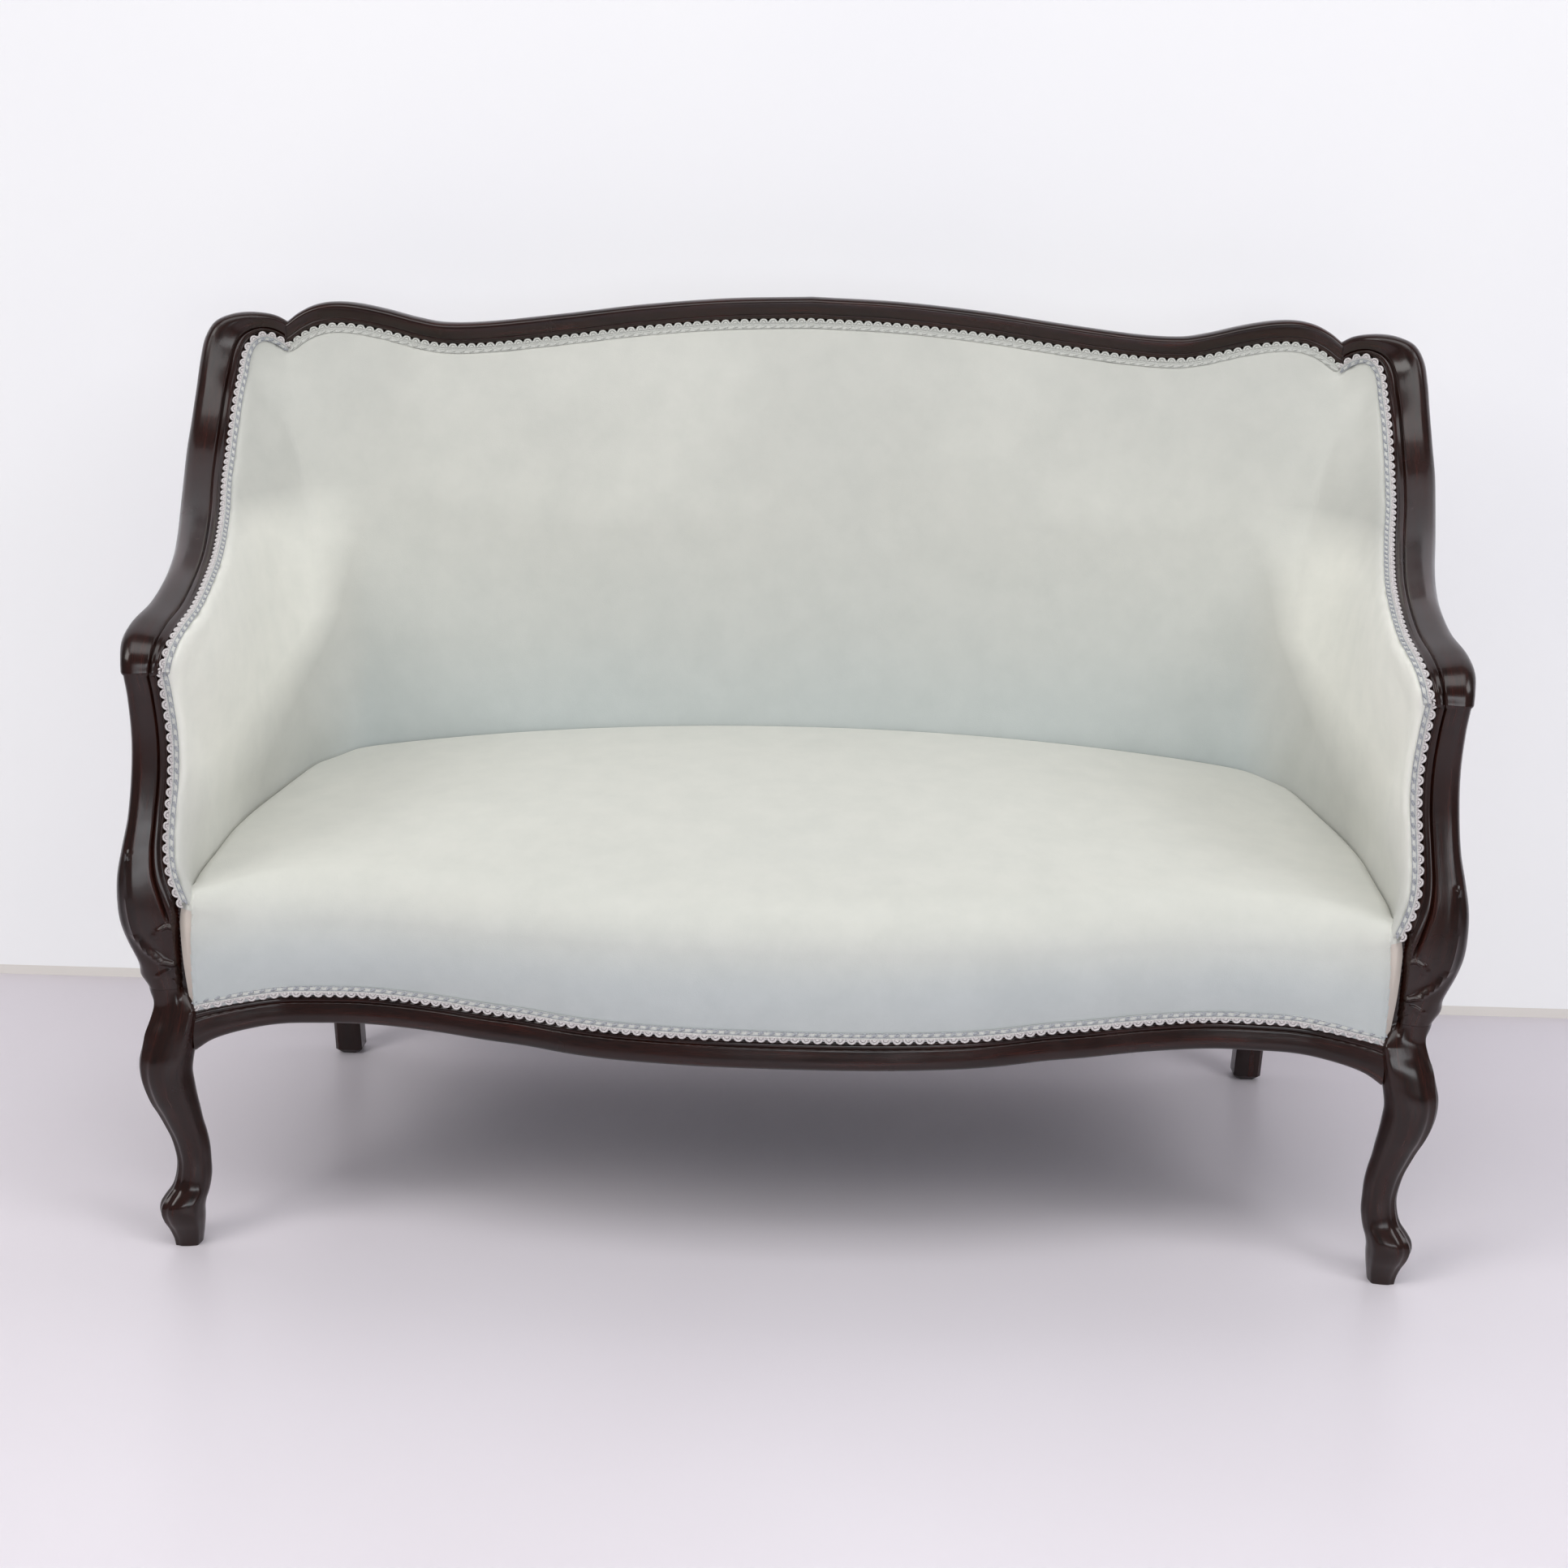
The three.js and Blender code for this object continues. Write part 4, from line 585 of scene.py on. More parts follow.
def woven(name, light, dark, radian, strength):
    """Plain weave: waves each way, a whole one in 2 pi times a length given in millimetres."""
    material, tree, place = new_material(name)
    x, y, z = (node(tree, "ShaderNodeTexWave", {
        "Vector": place, "Scale": 1 / (WAVE_FACTOR * radian * MM), "Distortion": 0.6,
        "Detail": 1.0}, bands_direction=way).outputs["Fac"] for way in ("X", "Y", "Z"))
    weave = node(tree, "ShaderNodeMath", {0: x, 1: z}, operation="MULTIPLY")
    weave = node(tree, "ShaderNodeMath", {0: weave, 1: y}, operation="ADD")
    slub = node(tree, "ShaderNodeTexNoise", {"Vector": place, "Scale": 40.0, "Detail": 4.0})
    fac = node(tree, "ShaderNodeMath", {0: weave, 1: slub}, operation="MULTIPLY")
    colour = node(tree, "ShaderNodeValToRGB", {"Fac": fac}, stops=[(0.15, dark), (0.75, light)])
    bump = node(tree, "ShaderNodeBump", {
        "Strength": strength, "Distance": 0.0005, "Height": weave})
    surface(tree, {"Base Color": colour, "Roughness": 0.95, "Normal": bump})
    return material


def beech(name):
    """Planed beech, never polished: pale pink-brown with short dark flecks."""
    material, tree, place = new_material(name)
    mapped = node(tree, "ShaderNodeMapping", {"Vector": place, "Scale": (6.0, 60.0, 60.0)})
    figure = node(tree, "ShaderNodeTexNoise", {"Vector": mapped, "Scale": 1.0, "Detail": 4.0})
    fleck = node(tree, "ShaderNodeTexNoise", {"Vector": mapped, "Scale": 12.0, "Detail": 1.0})
    base = node(tree, "ShaderNodeValToRGB", {"Fac": figure}, stops=[
        (0.35, "a97f52"), (0.65, "c49c6c")])
    marks = node(tree, "ShaderNodeValToRGB", {"Fac": fleck}, stops=[
        (0.33, "b08c66"), (0.42, "ffffff")])
    colour = node(tree, "ShaderNodeMix", {"Factor": 0.7, "A": base, "B": marks}, **TINTED)
    bump = node(tree, "ShaderNodeBump", {"Strength": 0.2, "Distance": 0.0004, "Height": fleck})
    surface(tree, {"Base Color": colour.outputs["Result"], "Roughness": 0.65, "Normal": bump})
    return material


def coppered_wire(name):
    """Drawn steel with a thin dull copper flash, darker and rougher where it has tarnished."""
    material, tree, place = new_material(name)
    tarnish = node(tree, "ShaderNodeTexNoise", {"Vector": place, "Scale": 60.0, "Detail": 4.0})
    colour = node(tree, "ShaderNodeValToRGB", {"Fac": tarnish}, stops=[
        (0.35, "5e4a3c"), (0.65, "a57f62")])
    rough = node(tree, "ShaderNodeMapRange", {"Value": tarnish, "To Min": 0.55, "To Max": 0.3})
    surface(tree, {"Base Color": colour, "Metallic": 1.0, "Roughness": rough})
    return material


ALONG, ACROSS = 7.0, 110.0  # times that the mahogany's figure changes in a metre
polished = mahogany("french_polished_mahogany", "grain", (ALONG, ACROSS, 1.0))
polished_long = mahogany("french_polished_mahogany_rails", "object", (ACROSS, ALONG, ACROSS))
polished_tall = mahogany("french_polished_mahogany_uprights", "object", (ACROSS, ACROSS, ALONG))
# The cover is painted lighter upwards between 0.36 and 0.7 m and painted lighter on the arms, as
# painted light
cut_velvet = velvet("sage_cotton_velvet", ("bfc6c5", "c6c8c3", "cbcbc4", "f0efe6"), 0.36, 0.7, 0.72)
# Heights over which the seat's cloth and its corner strips are painted lighter upwards, as painted
# light from above
SEAT_PAINTED_LIGHT_HEIGHTS = (0.29, 0.375)
seat_velvet = velvet(
    "sage_cotton_velvet_worn_seat", ("c3c8c8", "ced0cb", "d6d6ce", "dbdbd3"), *SEAT_PAINTED_LIGHT_HEIGHTS)
strip_velvet = velvet(
    "sage_cotton_velvet_faded_strip", ("cbbfb6", "d0c5bb", "d4c9bf", "d8cec4"), *SEAT_PAINTED_LIGHT_HEIGHTS)
gimp_white = thread("scroll_gimp_white_cotton", "dcd7d6", "beb8b8")
gimp_lilac = thread("scroll_gimp_lilac_cotton", "adafb3", "8e9097")
gimp_crest = thread("scroll_gimp_crest_cotton", "d0d0ca", "c2c3be")
gimp_crest_dark = thread("scroll_gimp_crest_soiled_cotton", "cacbc5", "bdbeb9")
jute = woven("jute_webbing_plain_weave", "b69a6c", "7a6241", 2.5, 0.7)
cambric = woven("black_cotton_cambric", "38383b", "1c1c1f", 1.2, 0.4)
planed_beech = beech("planed_beech")
wire = coppered_wire("coppered_spring_wire")


# Show-wood

# Places across the moulding, closer together in its two quirks, and its height at some of them
OVERS = np.unique(np.concatenate([
    np.linspace(0, 0.06, 4), np.linspace(0.06, 0.14, 6), np.linspace(0.14, 0.2, 4),
    np.linspace(0.2, 0.3, 9), np.linspace(0.3, 0.41, 5), np.linspace(0.41, 0.85, 10),
    np.linspace(0.85, 1, 9)]).round(4))
DOME = [
    (0, 0.62), (0.06, 0.74), (0.17, 0.81), (0.3, 0.86), (0.42, 0.905), (0.56, 0.96), (0.72, 1),
    (0.87, 0.935), (0.95, 0.8), (0.985, 0.66), (1, 0.5),
]
OUTER_EDGE = [
    (1.0, 0.34), (0.985, 0.18), (0.945, 0.06), (0.88, 0.0), (0.6, 0.0), (0.3, 0.0), (0.08, 0.0),
    (0.0, 0.07), (0.0, 0.3), (0.0, 0.5),
]
QUIRKS = [(0.25, 0.026, 0.085), (0.1, 0.02, 0.04)]  # place across, half width and depth
CREST_GROOVES = 0.25  # share of their depth that the quirks have on the crest
FACE = slice(2, len(OVERS) - 2)


def bell(at, centre, width):
    return np.exp(-((at - centre) / width) ** 2)


def section(grooves=1.0):
    """The moulding: a broad outer round, a quirk, a bead and a narrow fillet beside the cloth."""
    lifts = np.array([smooth(DOME, over) for over in OVERS])
    for centre, width, deep in QUIRKS:
        lifts = lifts - grooves * deep * bell(OVERS, centre, width)
    return [*zip(OVERS, lifts), *OUTER_EDGE]


def mould_ring(place, depth, grooves=1.0):
    inner, across, proud, width = place
    return [inner + across * over * width + proud * (lift - EDGE_SHARE) * depth
            for over, lift in section(grooves)]


crest_xs = np.linspace(-1, 1, 321) * (NOTCH_HALF - FIT / 2)
crest_rings = [mould_ring(crest_frame(x), CREST_DEPTH, CREST_GROOVES) for x in crest_xs]
finished(loft("crest_moulding", crest_rings), polished, "mahogany", "crest_rail")

wing_alongs = np.concatenate([
    np.linspace(0, 0.36, 120), np.linspace(0.36, 0.84, 110)[1:], np.linspace(0.84, 1, 70)[1:]])
NOSE_DROP, NOSE_CENTRE = 7, 0.5


def nose_rings():
    """The rail's broad outer band rolls over into a rounded end that overhangs the support."""
    inner, across, proud, width = wing_frame(1)
    rings = []
    for turn in np.linspace(0, math.pi / 2, 12)[1:]:
        shrink, sink = math.cos(turn) ** 0.8, math.sin(turn)
        ring = []
        for over, lift in section():
            kept = NOSE_CENTRE + (over - NOSE_CENTRE) * mix(0.03, 1, shrink)
            raised = mix(0.5, lift, mix(0.1, 1, shrink))
            ring.append(inner + across * kept * width + proud * (raised - EDGE_SHARE) * ARM_DEPTH
                        - vec(0, 0, NOSE_DROP * sink))
        rings.append(ring)
    return rings


def arm_rings():
    return [*(mould_ring(wing_frame(along), ARM_DEPTH) for along in wing_alongs), *nose_rings()]


# Carving of the right arm support: places across from the foot's middle, heights from the floor.
# Each ridge is a line with its half width and its height over the face
RIDGES = [
    ([(32.5, 412), (32.5, 385), (32, 362), (29, 335), (18, 317), (6, 304.5), (-6, 301),
      (-17, 309)], 2.2, 3.2),
    ([(-11, 333), (-8, 339.5), (-1, 341), (5, 337), (9, 331)], 2.0, 3.0),
    ([(-2, 296), (4, 293.5), (10, 290)], 1.8, 1.8),
    ([(-6, 285), (-13, 278), (-17, 270)], 1.8, 1.6),
]
GROOVE_FADE = (338, 356)  # the moulding's quirks run out downwards between these heights
HOLLOW_AT, HOLLOW_WIDE, HOLLOW_DEEP, HOLLOW_KEPT = 8, 16, 2.6, 4
HOLLOW_FOOT, HOLLOW_HEAD = (300, 318), (360, 420)
LIP_HEIGHT, LIP_TALL, LIP_OUT = 288, 8, 3.5
CLOTH_LAP = -9  # where the seat's cloth ends on the support, from the foot's middle
LAP_FADE, LAP_SINK = (378, 368), 3


def distance_to_line(x, z, line):
    """Least distance from places in the face's plane to a chain of straight runs."""
    least = np.full(np.shape(x), 1e9)
    for (x1, z1), (x2, z2) in zip(line, line[1:]):
        dx, dz = x2 - x1, z2 - z1
        t = np.clip(((x - x1) * dx + (z - z1) * dz) / (dx * dx + dz * dz), 0, 1)
        least = np.minimum(least, np.hypot(x - x1 - t * dx, z - z1 - t * dz))
    return least


def support_ring(fall):
    *place, depth = support_frame(fall)
    z = place[0][2]
    ring = np.array(mould_ring(place, depth, float(ease(*GROOVE_FADE, z))))
    x = ring[FACE, 0] - FRONT_FOOT_HALF
    relief = np.zeros(len(x))
    for line, width, height in RIDGES:
        relief += height * bell(distance_to_line(x, ring[FACE, 2], line), 0, width)
    inside = bell(x, HOLLOW_AT, HOLLOW_WIDE) * ease(*HOLLOW_FOOT, z) * (1 - ease(*HOLLOW_HEAD, z))
    beside = 1 - bell(distance_to_line(x, ring[FACE, 2], RIDGES[0][0]), 0, HOLLOW_KEPT)
    relief -= HOLLOW_DEEP * inside * beside
    ring[FACE, 1] -= relief
    lip = bell(z, LIP_HEIGHT, LIP_TALL) * ease(0.8, 1, (ring[:, 0] - place[0][0]) / place[3])
    ring[:, 0] += LIP_OUT * lip
    lapped = ease(CLOTH_LAP + 3, CLOTH_LAP - 1, ring[:, 0] - FRONT_FOOT_HALF) * ease(*LAP_FADE, z)
    behind = np.maximum(ring[:, 1], FRONT_Y - LAP_SINK)
    ring[:, 1] = mix(ring[:, 1], behind, lapped)
    return ring


def leg_at(height):
    shift, width, square = (column_at(LEG_ROWS[::-1], n, height) for n in (1, 2, 3))
    return shift * LEG_BLOCK, width * LEG_BLOCK / 2, clamp(square)


def reach_of(ring, centre, angles):
    """How far a ring reaches from a centre at each angle, as seen from above."""
    around = ring[:, :2] - centre
    turned = np.arctan2(around[:, 1], around[:, 0])
    order = np.argsort(turned)
    far = np.hypot(*around.T)[order]
    return np.interp(angles, turned[order], far, period=2 * math.pi)


BLOCK_SIDE, BLOCK_CORNER = 0.97, 1.3  # reach of the leg's square top, beside and at its corners
LEG_JOIN = (252, 275)  # heights over which the leg takes on the outline of the support's foot
KNEE_HEIGHT, KNEE_TALL, KNEE_TURN = 232, 22, 0.42
FLUTES, FLUTE_DEEP, FLUTE_SPREAD, SPINE_DEEP, SPINE_SPREAD = 14, 0.9, 1.3, 1.6, 0.28


def leg_rings(sides=96):
    rings = []
    foot_of_support = support_ring(1.0)
    for height in np.linspace(1, 0, 210):
        shift, reach, square = leg_at(height)
        centre = np.array((FRONT_FOOT_HALF + shift, FRONT_Y - shift))
        angles, reaches = [], []
        for turn in np.arange(sides) / sides:
            part = min(turn, 1 - turn)
            side = turn * 2 * math.pi - math.pi / 4
            box = min(BLOCK_CORNER, BLOCK_SIDE / max(abs(math.cos(side)), abs(math.sin(side))))
            angles.append(side)
            reaches.append(reach * mix(smooth(RIDGE_CURVE, part), box, square))
        angles, reaches = np.array(angles), np.array(reaches)
        z = height * LEG_TOP
        taken = float(ease(*LEG_JOIN, z))
        if taken:
            reaches = mix(reaches, reach_of(foot_of_support, centre, angles), taken)
        off = (angles + math.pi / 4) / KNEE_TURN
        knee = float(bell(z, KNEE_HEIGHT, KNEE_TALL))
        flutes = FLUTE_DEEP * np.cos(angles * FLUTES) * bell(off, 0, FLUTE_SPREAD)
        reaches = reaches + knee * (flutes + SPINE_DEEP * bell(off, 0, SPINE_SPREAD))
        rings.append(np.stack([
            centre[0] + reaches * np.cos(angles), centre[1] + reaches * np.sin(angles),
            np.full(sides, z)], -1))
    return rings


def pair(name, rings, material, slot, node_name):
    for side, points in (("right", np.asarray(rings)), ("left", mirrored(rings))):
        finished(loft(f"{name}_{side}", points), material, slot, f"{node_name}_{side}")


falls = np.concatenate([np.linspace(0, 0.7, 130), np.linspace(0.7, 1, 150)[1:]])
pair("arm_moulding", arm_rings(), polished, "mahogany", "arm_rail")
support_rings = [support_ring(fall) for fall in falls]
pair("arm_support_carved", support_rings, polished, "mahogany", "arm_support")
pair("cabriole_leg", leg_rings(), polished, "mahogany", "front_leg")


def front_ring(x):
    y, z = front_at(x)
    band = FRONT_BAND * smooth(SWEEP_CURVE, min(1, abs(x) / RAIL_HALF))
    face = [((FRONT_BED_SHARE - lift) * FRONT_PROUD, -over * band)
            for over, lift in section()[:len(OVERS) + 3]]
    back = RAIL_REBATE + RAIL_THICK
    outline = [
        *face, (RAIL_REBATE, -band), (RAIL_REBATE, RAIL_BOTTOM - z), (back, RAIL_BOTTOM - z),
        (back, RAIL_TOP - z), (RAIL_REBATE, RAIL_TOP - z), (RAIL_REBATE, 0)]
    return [vec(x, y + deep, z + up) for deep, up in outline]


front_xs = np.linspace(-1, 1, 301) * (RAIL_HALF - 2 * FIT)
front_rail = loft("front_rail_moulding", [front_ring(x) for x in front_xs])
finished(front_rail, polished, "mahogany", "front_seat_rail")


# Inside cover: one tight cloth over back and arms

SHELL = 11  # the padding's thickness where it is only stuffed over, kept above the remesh's size
COVER_VOXEL = 0.0065  # metres
BACK_COLUMNS, BACK_ROWS, ARM_STATIONS, ARM_STEPS = 151, 60, 120, 44
SWELL_FRAMES, SWELL_CAP = 20, 5  # length of each cloth simulation, and most that a point moves


def grid_solid(front, back):
    """Points and faces of a closed body between two sheets of the same grid."""
    front, back = np.asarray(front), np.asarray(back)
    rows, size, _ = front.shape
    rings = np.concatenate([front, back[:, ::-1]], axis=1)
    faces = loft_faces(rows, 2 * size)
    for start, turned in ((0, False), ((rows - 1) * 2 * size, True)):
        for n in range(size - 1):
            quad = (start + n, start + n + 1, start + 2 * size - 2 - n, start + 2 * size - 1 - n)
            faces.append(quad[::-1] if turned else quad)
    return rings.reshape(-1, 3), faces


def back_solid():
    front = np.array([back_column(at, BACK_ROWS) for at in np.linspace(-1, 1, BACK_COLUMNS)])
    back = front.copy()
    for column in back:
        for point in column:
            point[1] = max(frame_front(point[2]) - WEB - 4 * FIT, point[1] + SHELL)
    return grid_solid(front, back)


def arm_solid():
    shares = np.linspace(0, 1, ARM_STATIONS)
    front = np.array([arm_row(share, ARM_STEPS) for share in shares])
    back = front.copy()
    for n, share in enumerate(shares):
        *place, depth = arm_station(share)
        for k, away in enumerate((PAD_SETBACK, GIMP_WIDTH / 2, GIMP_WIDTH + 2 * FIT)):
            back[n, k] = bed_point(place, depth, away, PAD_EDGE - SHELL)
        for k in range(3, back.shape[1]):
            back[n, k] = front[n, k] + arm_outwards(front[n, k][1]) * SHELL
    return grid_solid(front, back)


def joined(name, pieces):
    """One object from several, their meshes together."""
    with bpy.context.temp_override(active_object=pieces[0], selected_editable_objects=pieces):
        bpy.ops.object.join()
    pieces[0].name = pieces[0].data.name = name
    return pieces[0]


def live_mesh(made):
    """The mesh that a piece's modifiers give, in the place of its own."""
    bpy.context.view_layer.update()
    live = made.evaluated_get(bpy.context.evaluated_depsgraph_get())
    plain = bpy.data.meshes.new_from_object(live)
    made.modifiers.clear()
    old = made.data
    made.data = plain
    bpy.data.meshes.remove(old)
    return made


def remeshed(made, voxel):
    change = made.modifiers.new("one_skin", "REMESH")
    change.mode, change.voxel_size, change.use_smooth_shade = "VOXEL", voxel, True
    return live_mesh(made)


def points_of(made):
    flat = np.empty(len(made.data.vertices) * 3)
    made.data.vertices.foreach_get("co", flat)
    return flat.reshape(-1, 3) / MM - (0, SHIFT, 0)


def set_points(made, points):
    made.data.vertices.foreach_set("co", metres(points).ravel())
    made.data.update()


def eased(made, points, rounds, weight):
    """Draws each point towards the middle of its neighbours, by its own weight."""
    edges = np.empty(len(made.data.edges) * 2, int)
    made.data.edges.foreach_get("vertices", edges)
    one, two = edges.reshape(-1, 2).T
    count = np.bincount(np.concatenate([one, two]), minlength=len(points))[:, None]
    weight = np.asarray(weight, float).reshape(-1, 1)
    for _ in range(rounds):
        total = np.stack([
            np.bincount(one, points[two, k], len(points))
            + np.bincount(two, points[one, k], len(points)) for k in range(3)], -1)
        points = points + weight * (total / count - points)
    return points


def filled_out(made, weight, pressure=4.0):
    """Lets the cloth swell over its stuffing, no point moving further than the cap."""
    start = points_of(made)
    cloth = made.modifiers.new("stuffing", "CLOTH")
    cloth.settings.use_pressure, cloth.settings.uniform_pressure_force = True, pressure
    cloth.settings.effector_weights.gravity = 0
    cloth.settings.quality = 4
    cloth.point_cache.frame_start, cloth.point_cache.frame_end = 1, SWELL_FRAMES
    for frame_number in range(1, SWELL_FRAMES + 1):
        scene.frame_set(frame_number)
    push = points_of(made.evaluated_get(bpy.context.evaluated_depsgraph_get())) - start
    made.modifiers.clear()
    scene.frame_set(1)
    far = np.linalg.norm(push, axis=1, keepdims=True)
    push = push * np.minimum(1, SWELL_CAP / np.maximum(far, 1e-6)) * weight[:, None]
    return start + push


def edge_lines():
    """The line of the gimp's middle under the crest and down each arm, for distances from it."""
    rows = [bed_point(crest_frame(x), CREST_DEPTH, GIMP_WIDTH / 2, PAD_EDGE)
            for x in np.linspace(-1, 1, 241) * (NOTCH_HALF - PAD_SETBACK)]
    arm = []
    for share in np.linspace(0, 1, 240):
        *place, depth = arm_station(share)
        arm.append(bed_point(place, depth, GIMP_WIDTH / 2, PAD_EDGE))
    return np.concatenate([rows, arm, mirrored(arm)])


def tree_of(points):
    tree = KDTree(len(points))
    for n, point in enumerate(points):
        tree.insert(point, n)
    tree.balance()
    return tree


def distances(tree, points):
    return np.array([tree.find(point)[2] for point in points])


def crease_line(side):
    return np.array([vec(side * crease_at(height)[0], crease_at(height)[1], height)
                     for height in np.linspace(PAD_BOTTOM, UPRIGHT_TOP, 90)])


back_body = add_mesh("inside_cover", *back_solid(), smooth_angle=0)
arm_points, arm_faces = arm_solid()
arm_right_body = add_mesh("arm_right_body", arm_points, arm_faces, smooth_angle=0)
arm_left_body = add_mesh("arm_left_body", mirrored(arm_points), arm_faces, smooth_angle=0)
cover = remeshed(joined("inside_cover", [back_body, arm_right_body, arm_left_body]), COVER_VOXEL)

edge_tree = tree_of(edge_lines())
crease_tree = tree_of(np.concatenate([crease_line(1), crease_line(-1)]))
cover_points = points_of(cover)
from_edge = distances(edge_tree, cover_points)
from_crease = distances(crease_tree, cover_points)
height = cover_points[:, 2]
# The sheet runs over from back to wing without a fold, but lower down it is tucked in. The fold
# opens between two heights, which are greater on the left
OPEN_HEIGHTS, OPEN_HEIGHTS_LEFT = (440, 640), (500, 680)
FOLD_HEIGHTS, FOLD_SHARE, FOLD_SHARE_LEFT = (350, 420), 0.16, 0.03
FOLD_REACH, OPEN_REACH = 60, 70
# Distances from the gimp's line over which points are let go, the fold opens and the cloth swells
HELD, OPEN_FROM_EDGE, SWELL_FROM_EDGE = (5, 14), (9, 45), (8, 70)
SWELL_HEIGHTS = (395, 440)  # it doesn't swell below these, where the seat meets it
OPENING_ROUNDS, SETTLING_ROUNDS, LAST_ROUNDS = 160, 6, 4
left = cover_points[:, 0] < 0
open_part = np.where(left, ease(*OPEN_HEIGHTS_LEFT, height), ease(*OPEN_HEIGHTS, height))
low_part = np.where(left, FOLD_SHARE_LEFT, FOLD_SHARE) * ease(*FOLD_HEIGHTS, height)
loose = np.maximum(open_part ** 1.5, low_part)
reach = FOLD_REACH + OPEN_REACH * open_part
near_crease = np.clip(1 - from_crease / reach, 0, 1)
away_from_edge = ease(*OPEN_FROM_EDGE, from_edge)
slack = 0.9 * np.minimum(1, 2.2 * near_crease) * loose * away_from_edge
cover_points = eased(cover, cover_points, OPENING_ROUNDS, slack)
cover_points = eased(cover, cover_points, SETTLING_ROUNDS, 0.5 * ease(*HELD, from_edge))
set_points(cover, cover_points)
stuffing = ease(*SWELL_FROM_EDGE, from_edge) * ease(*SWELL_HEIGHTS, cover_points[:, 2])
cover_points = filled_out(cover, stuffing)
cover_points = eased(cover, cover_points, LAST_ROUNDS, 0.5 * ease(*HELD, from_edge))
set_points(cover, cover_points)


# Seat

def surface_tree(made):
    shape = bmesh.new()
    shape.from_mesh(made.data)
    found = BVHTree.FromBMesh(shape)
    shape.free()
    return found


cover_tree = surface_tree(cover)


def meets(start, way, fallback):
    """How far along a line from a place, in millimetres, the inside cover is met."""
    hit = cover_tree.ray_cast(Vector(metres(start)), Vector(way))
    return fallback if hit[0] is None else hit[3] / MM


# Height and place across of the cloth's outer edge and of its seam, at the front corners
SIDE_EDGE = [(245, 579), (262, 581.5), (303, 585), (345, 587), (358, 584.5), (372, 583)]
SEAM_LINE = [(245, 577), (264, 575.5), (300, 574.5), (333, 573.5), (350, 572)]
CORNER_ROUND = 18  # smaller roll where the seat's cloth is pulled tight over the front corners
SEAT_QUIRK = 15  # radius of the roll where the seat's cloth is tucked in beside back and arms
SEAT_FRONT_HALF, SEAT_SPREAD = 583.5, 25  # half width in front, and most that it passes its plan
TUCK_FROM, TUCK_BY = 24, 44  # its sides are tucked in over this stretch behind the front
PROBE, PROBE_DROP = 60, 9  # a ray to the inside cover starts so far from it and below the top
SEAM_WIDE, SEAM_DEEP, BEYOND_SLOPE = 1.7, 2.2, 0.62
# Heights over which the seat's top and its border begin to swell, and what holds them back
TOP_SWELLS, TOP_CLEAR = (345, 372), (10, 60)
BORDER_SWELLS, BORDER_SHARE, SEAM_AT, SEAM_CLEAR = (262, 285), 0.45, 574, (8, 26)
STRIP_DEPTH, STRIP_TOP, STRIP_GAP = 8, 356, 1.2  # bounds of the faded strip at each front corner
seat_ys = np.linspace(FRONT_Y, CREASE_Y + 5, 90)
seat_halves = []
for y in seat_ys:
    plan = side_plan(y)
    start = vec(plan - PROBE, y, seat_top(plan, y) - PROBE_DROP)
    far = meets(start, (1, 0, 0), PROBE + 1) + plan - PROBE
    tucked = ease(FRONT_Y + TUCK_FROM, FRONT_Y + TUCK_BY, y)
    seat_halves.append(mix(SEAT_FRONT_HALF, min(far, plan + SEAT_SPREAD), tucked))
rear_xs = np.linspace(0, CREASE_HALF - 6, 60)
seat_rears = []
for x in rear_xs:
    start = vec(x, CREASE_Y - PROBE, seat_top(x, CREASE_Y) - PROBE_DROP)
    seat_rears.append(meets(start, (0, 1, 0), PROBE) + CREASE_Y - PROBE)


def seat_half(y):
    return float(np.interp(y, seat_ys, seat_halves))


def seat_rear(x):
    return float(np.interp(abs(x), rear_xs, seat_rears))


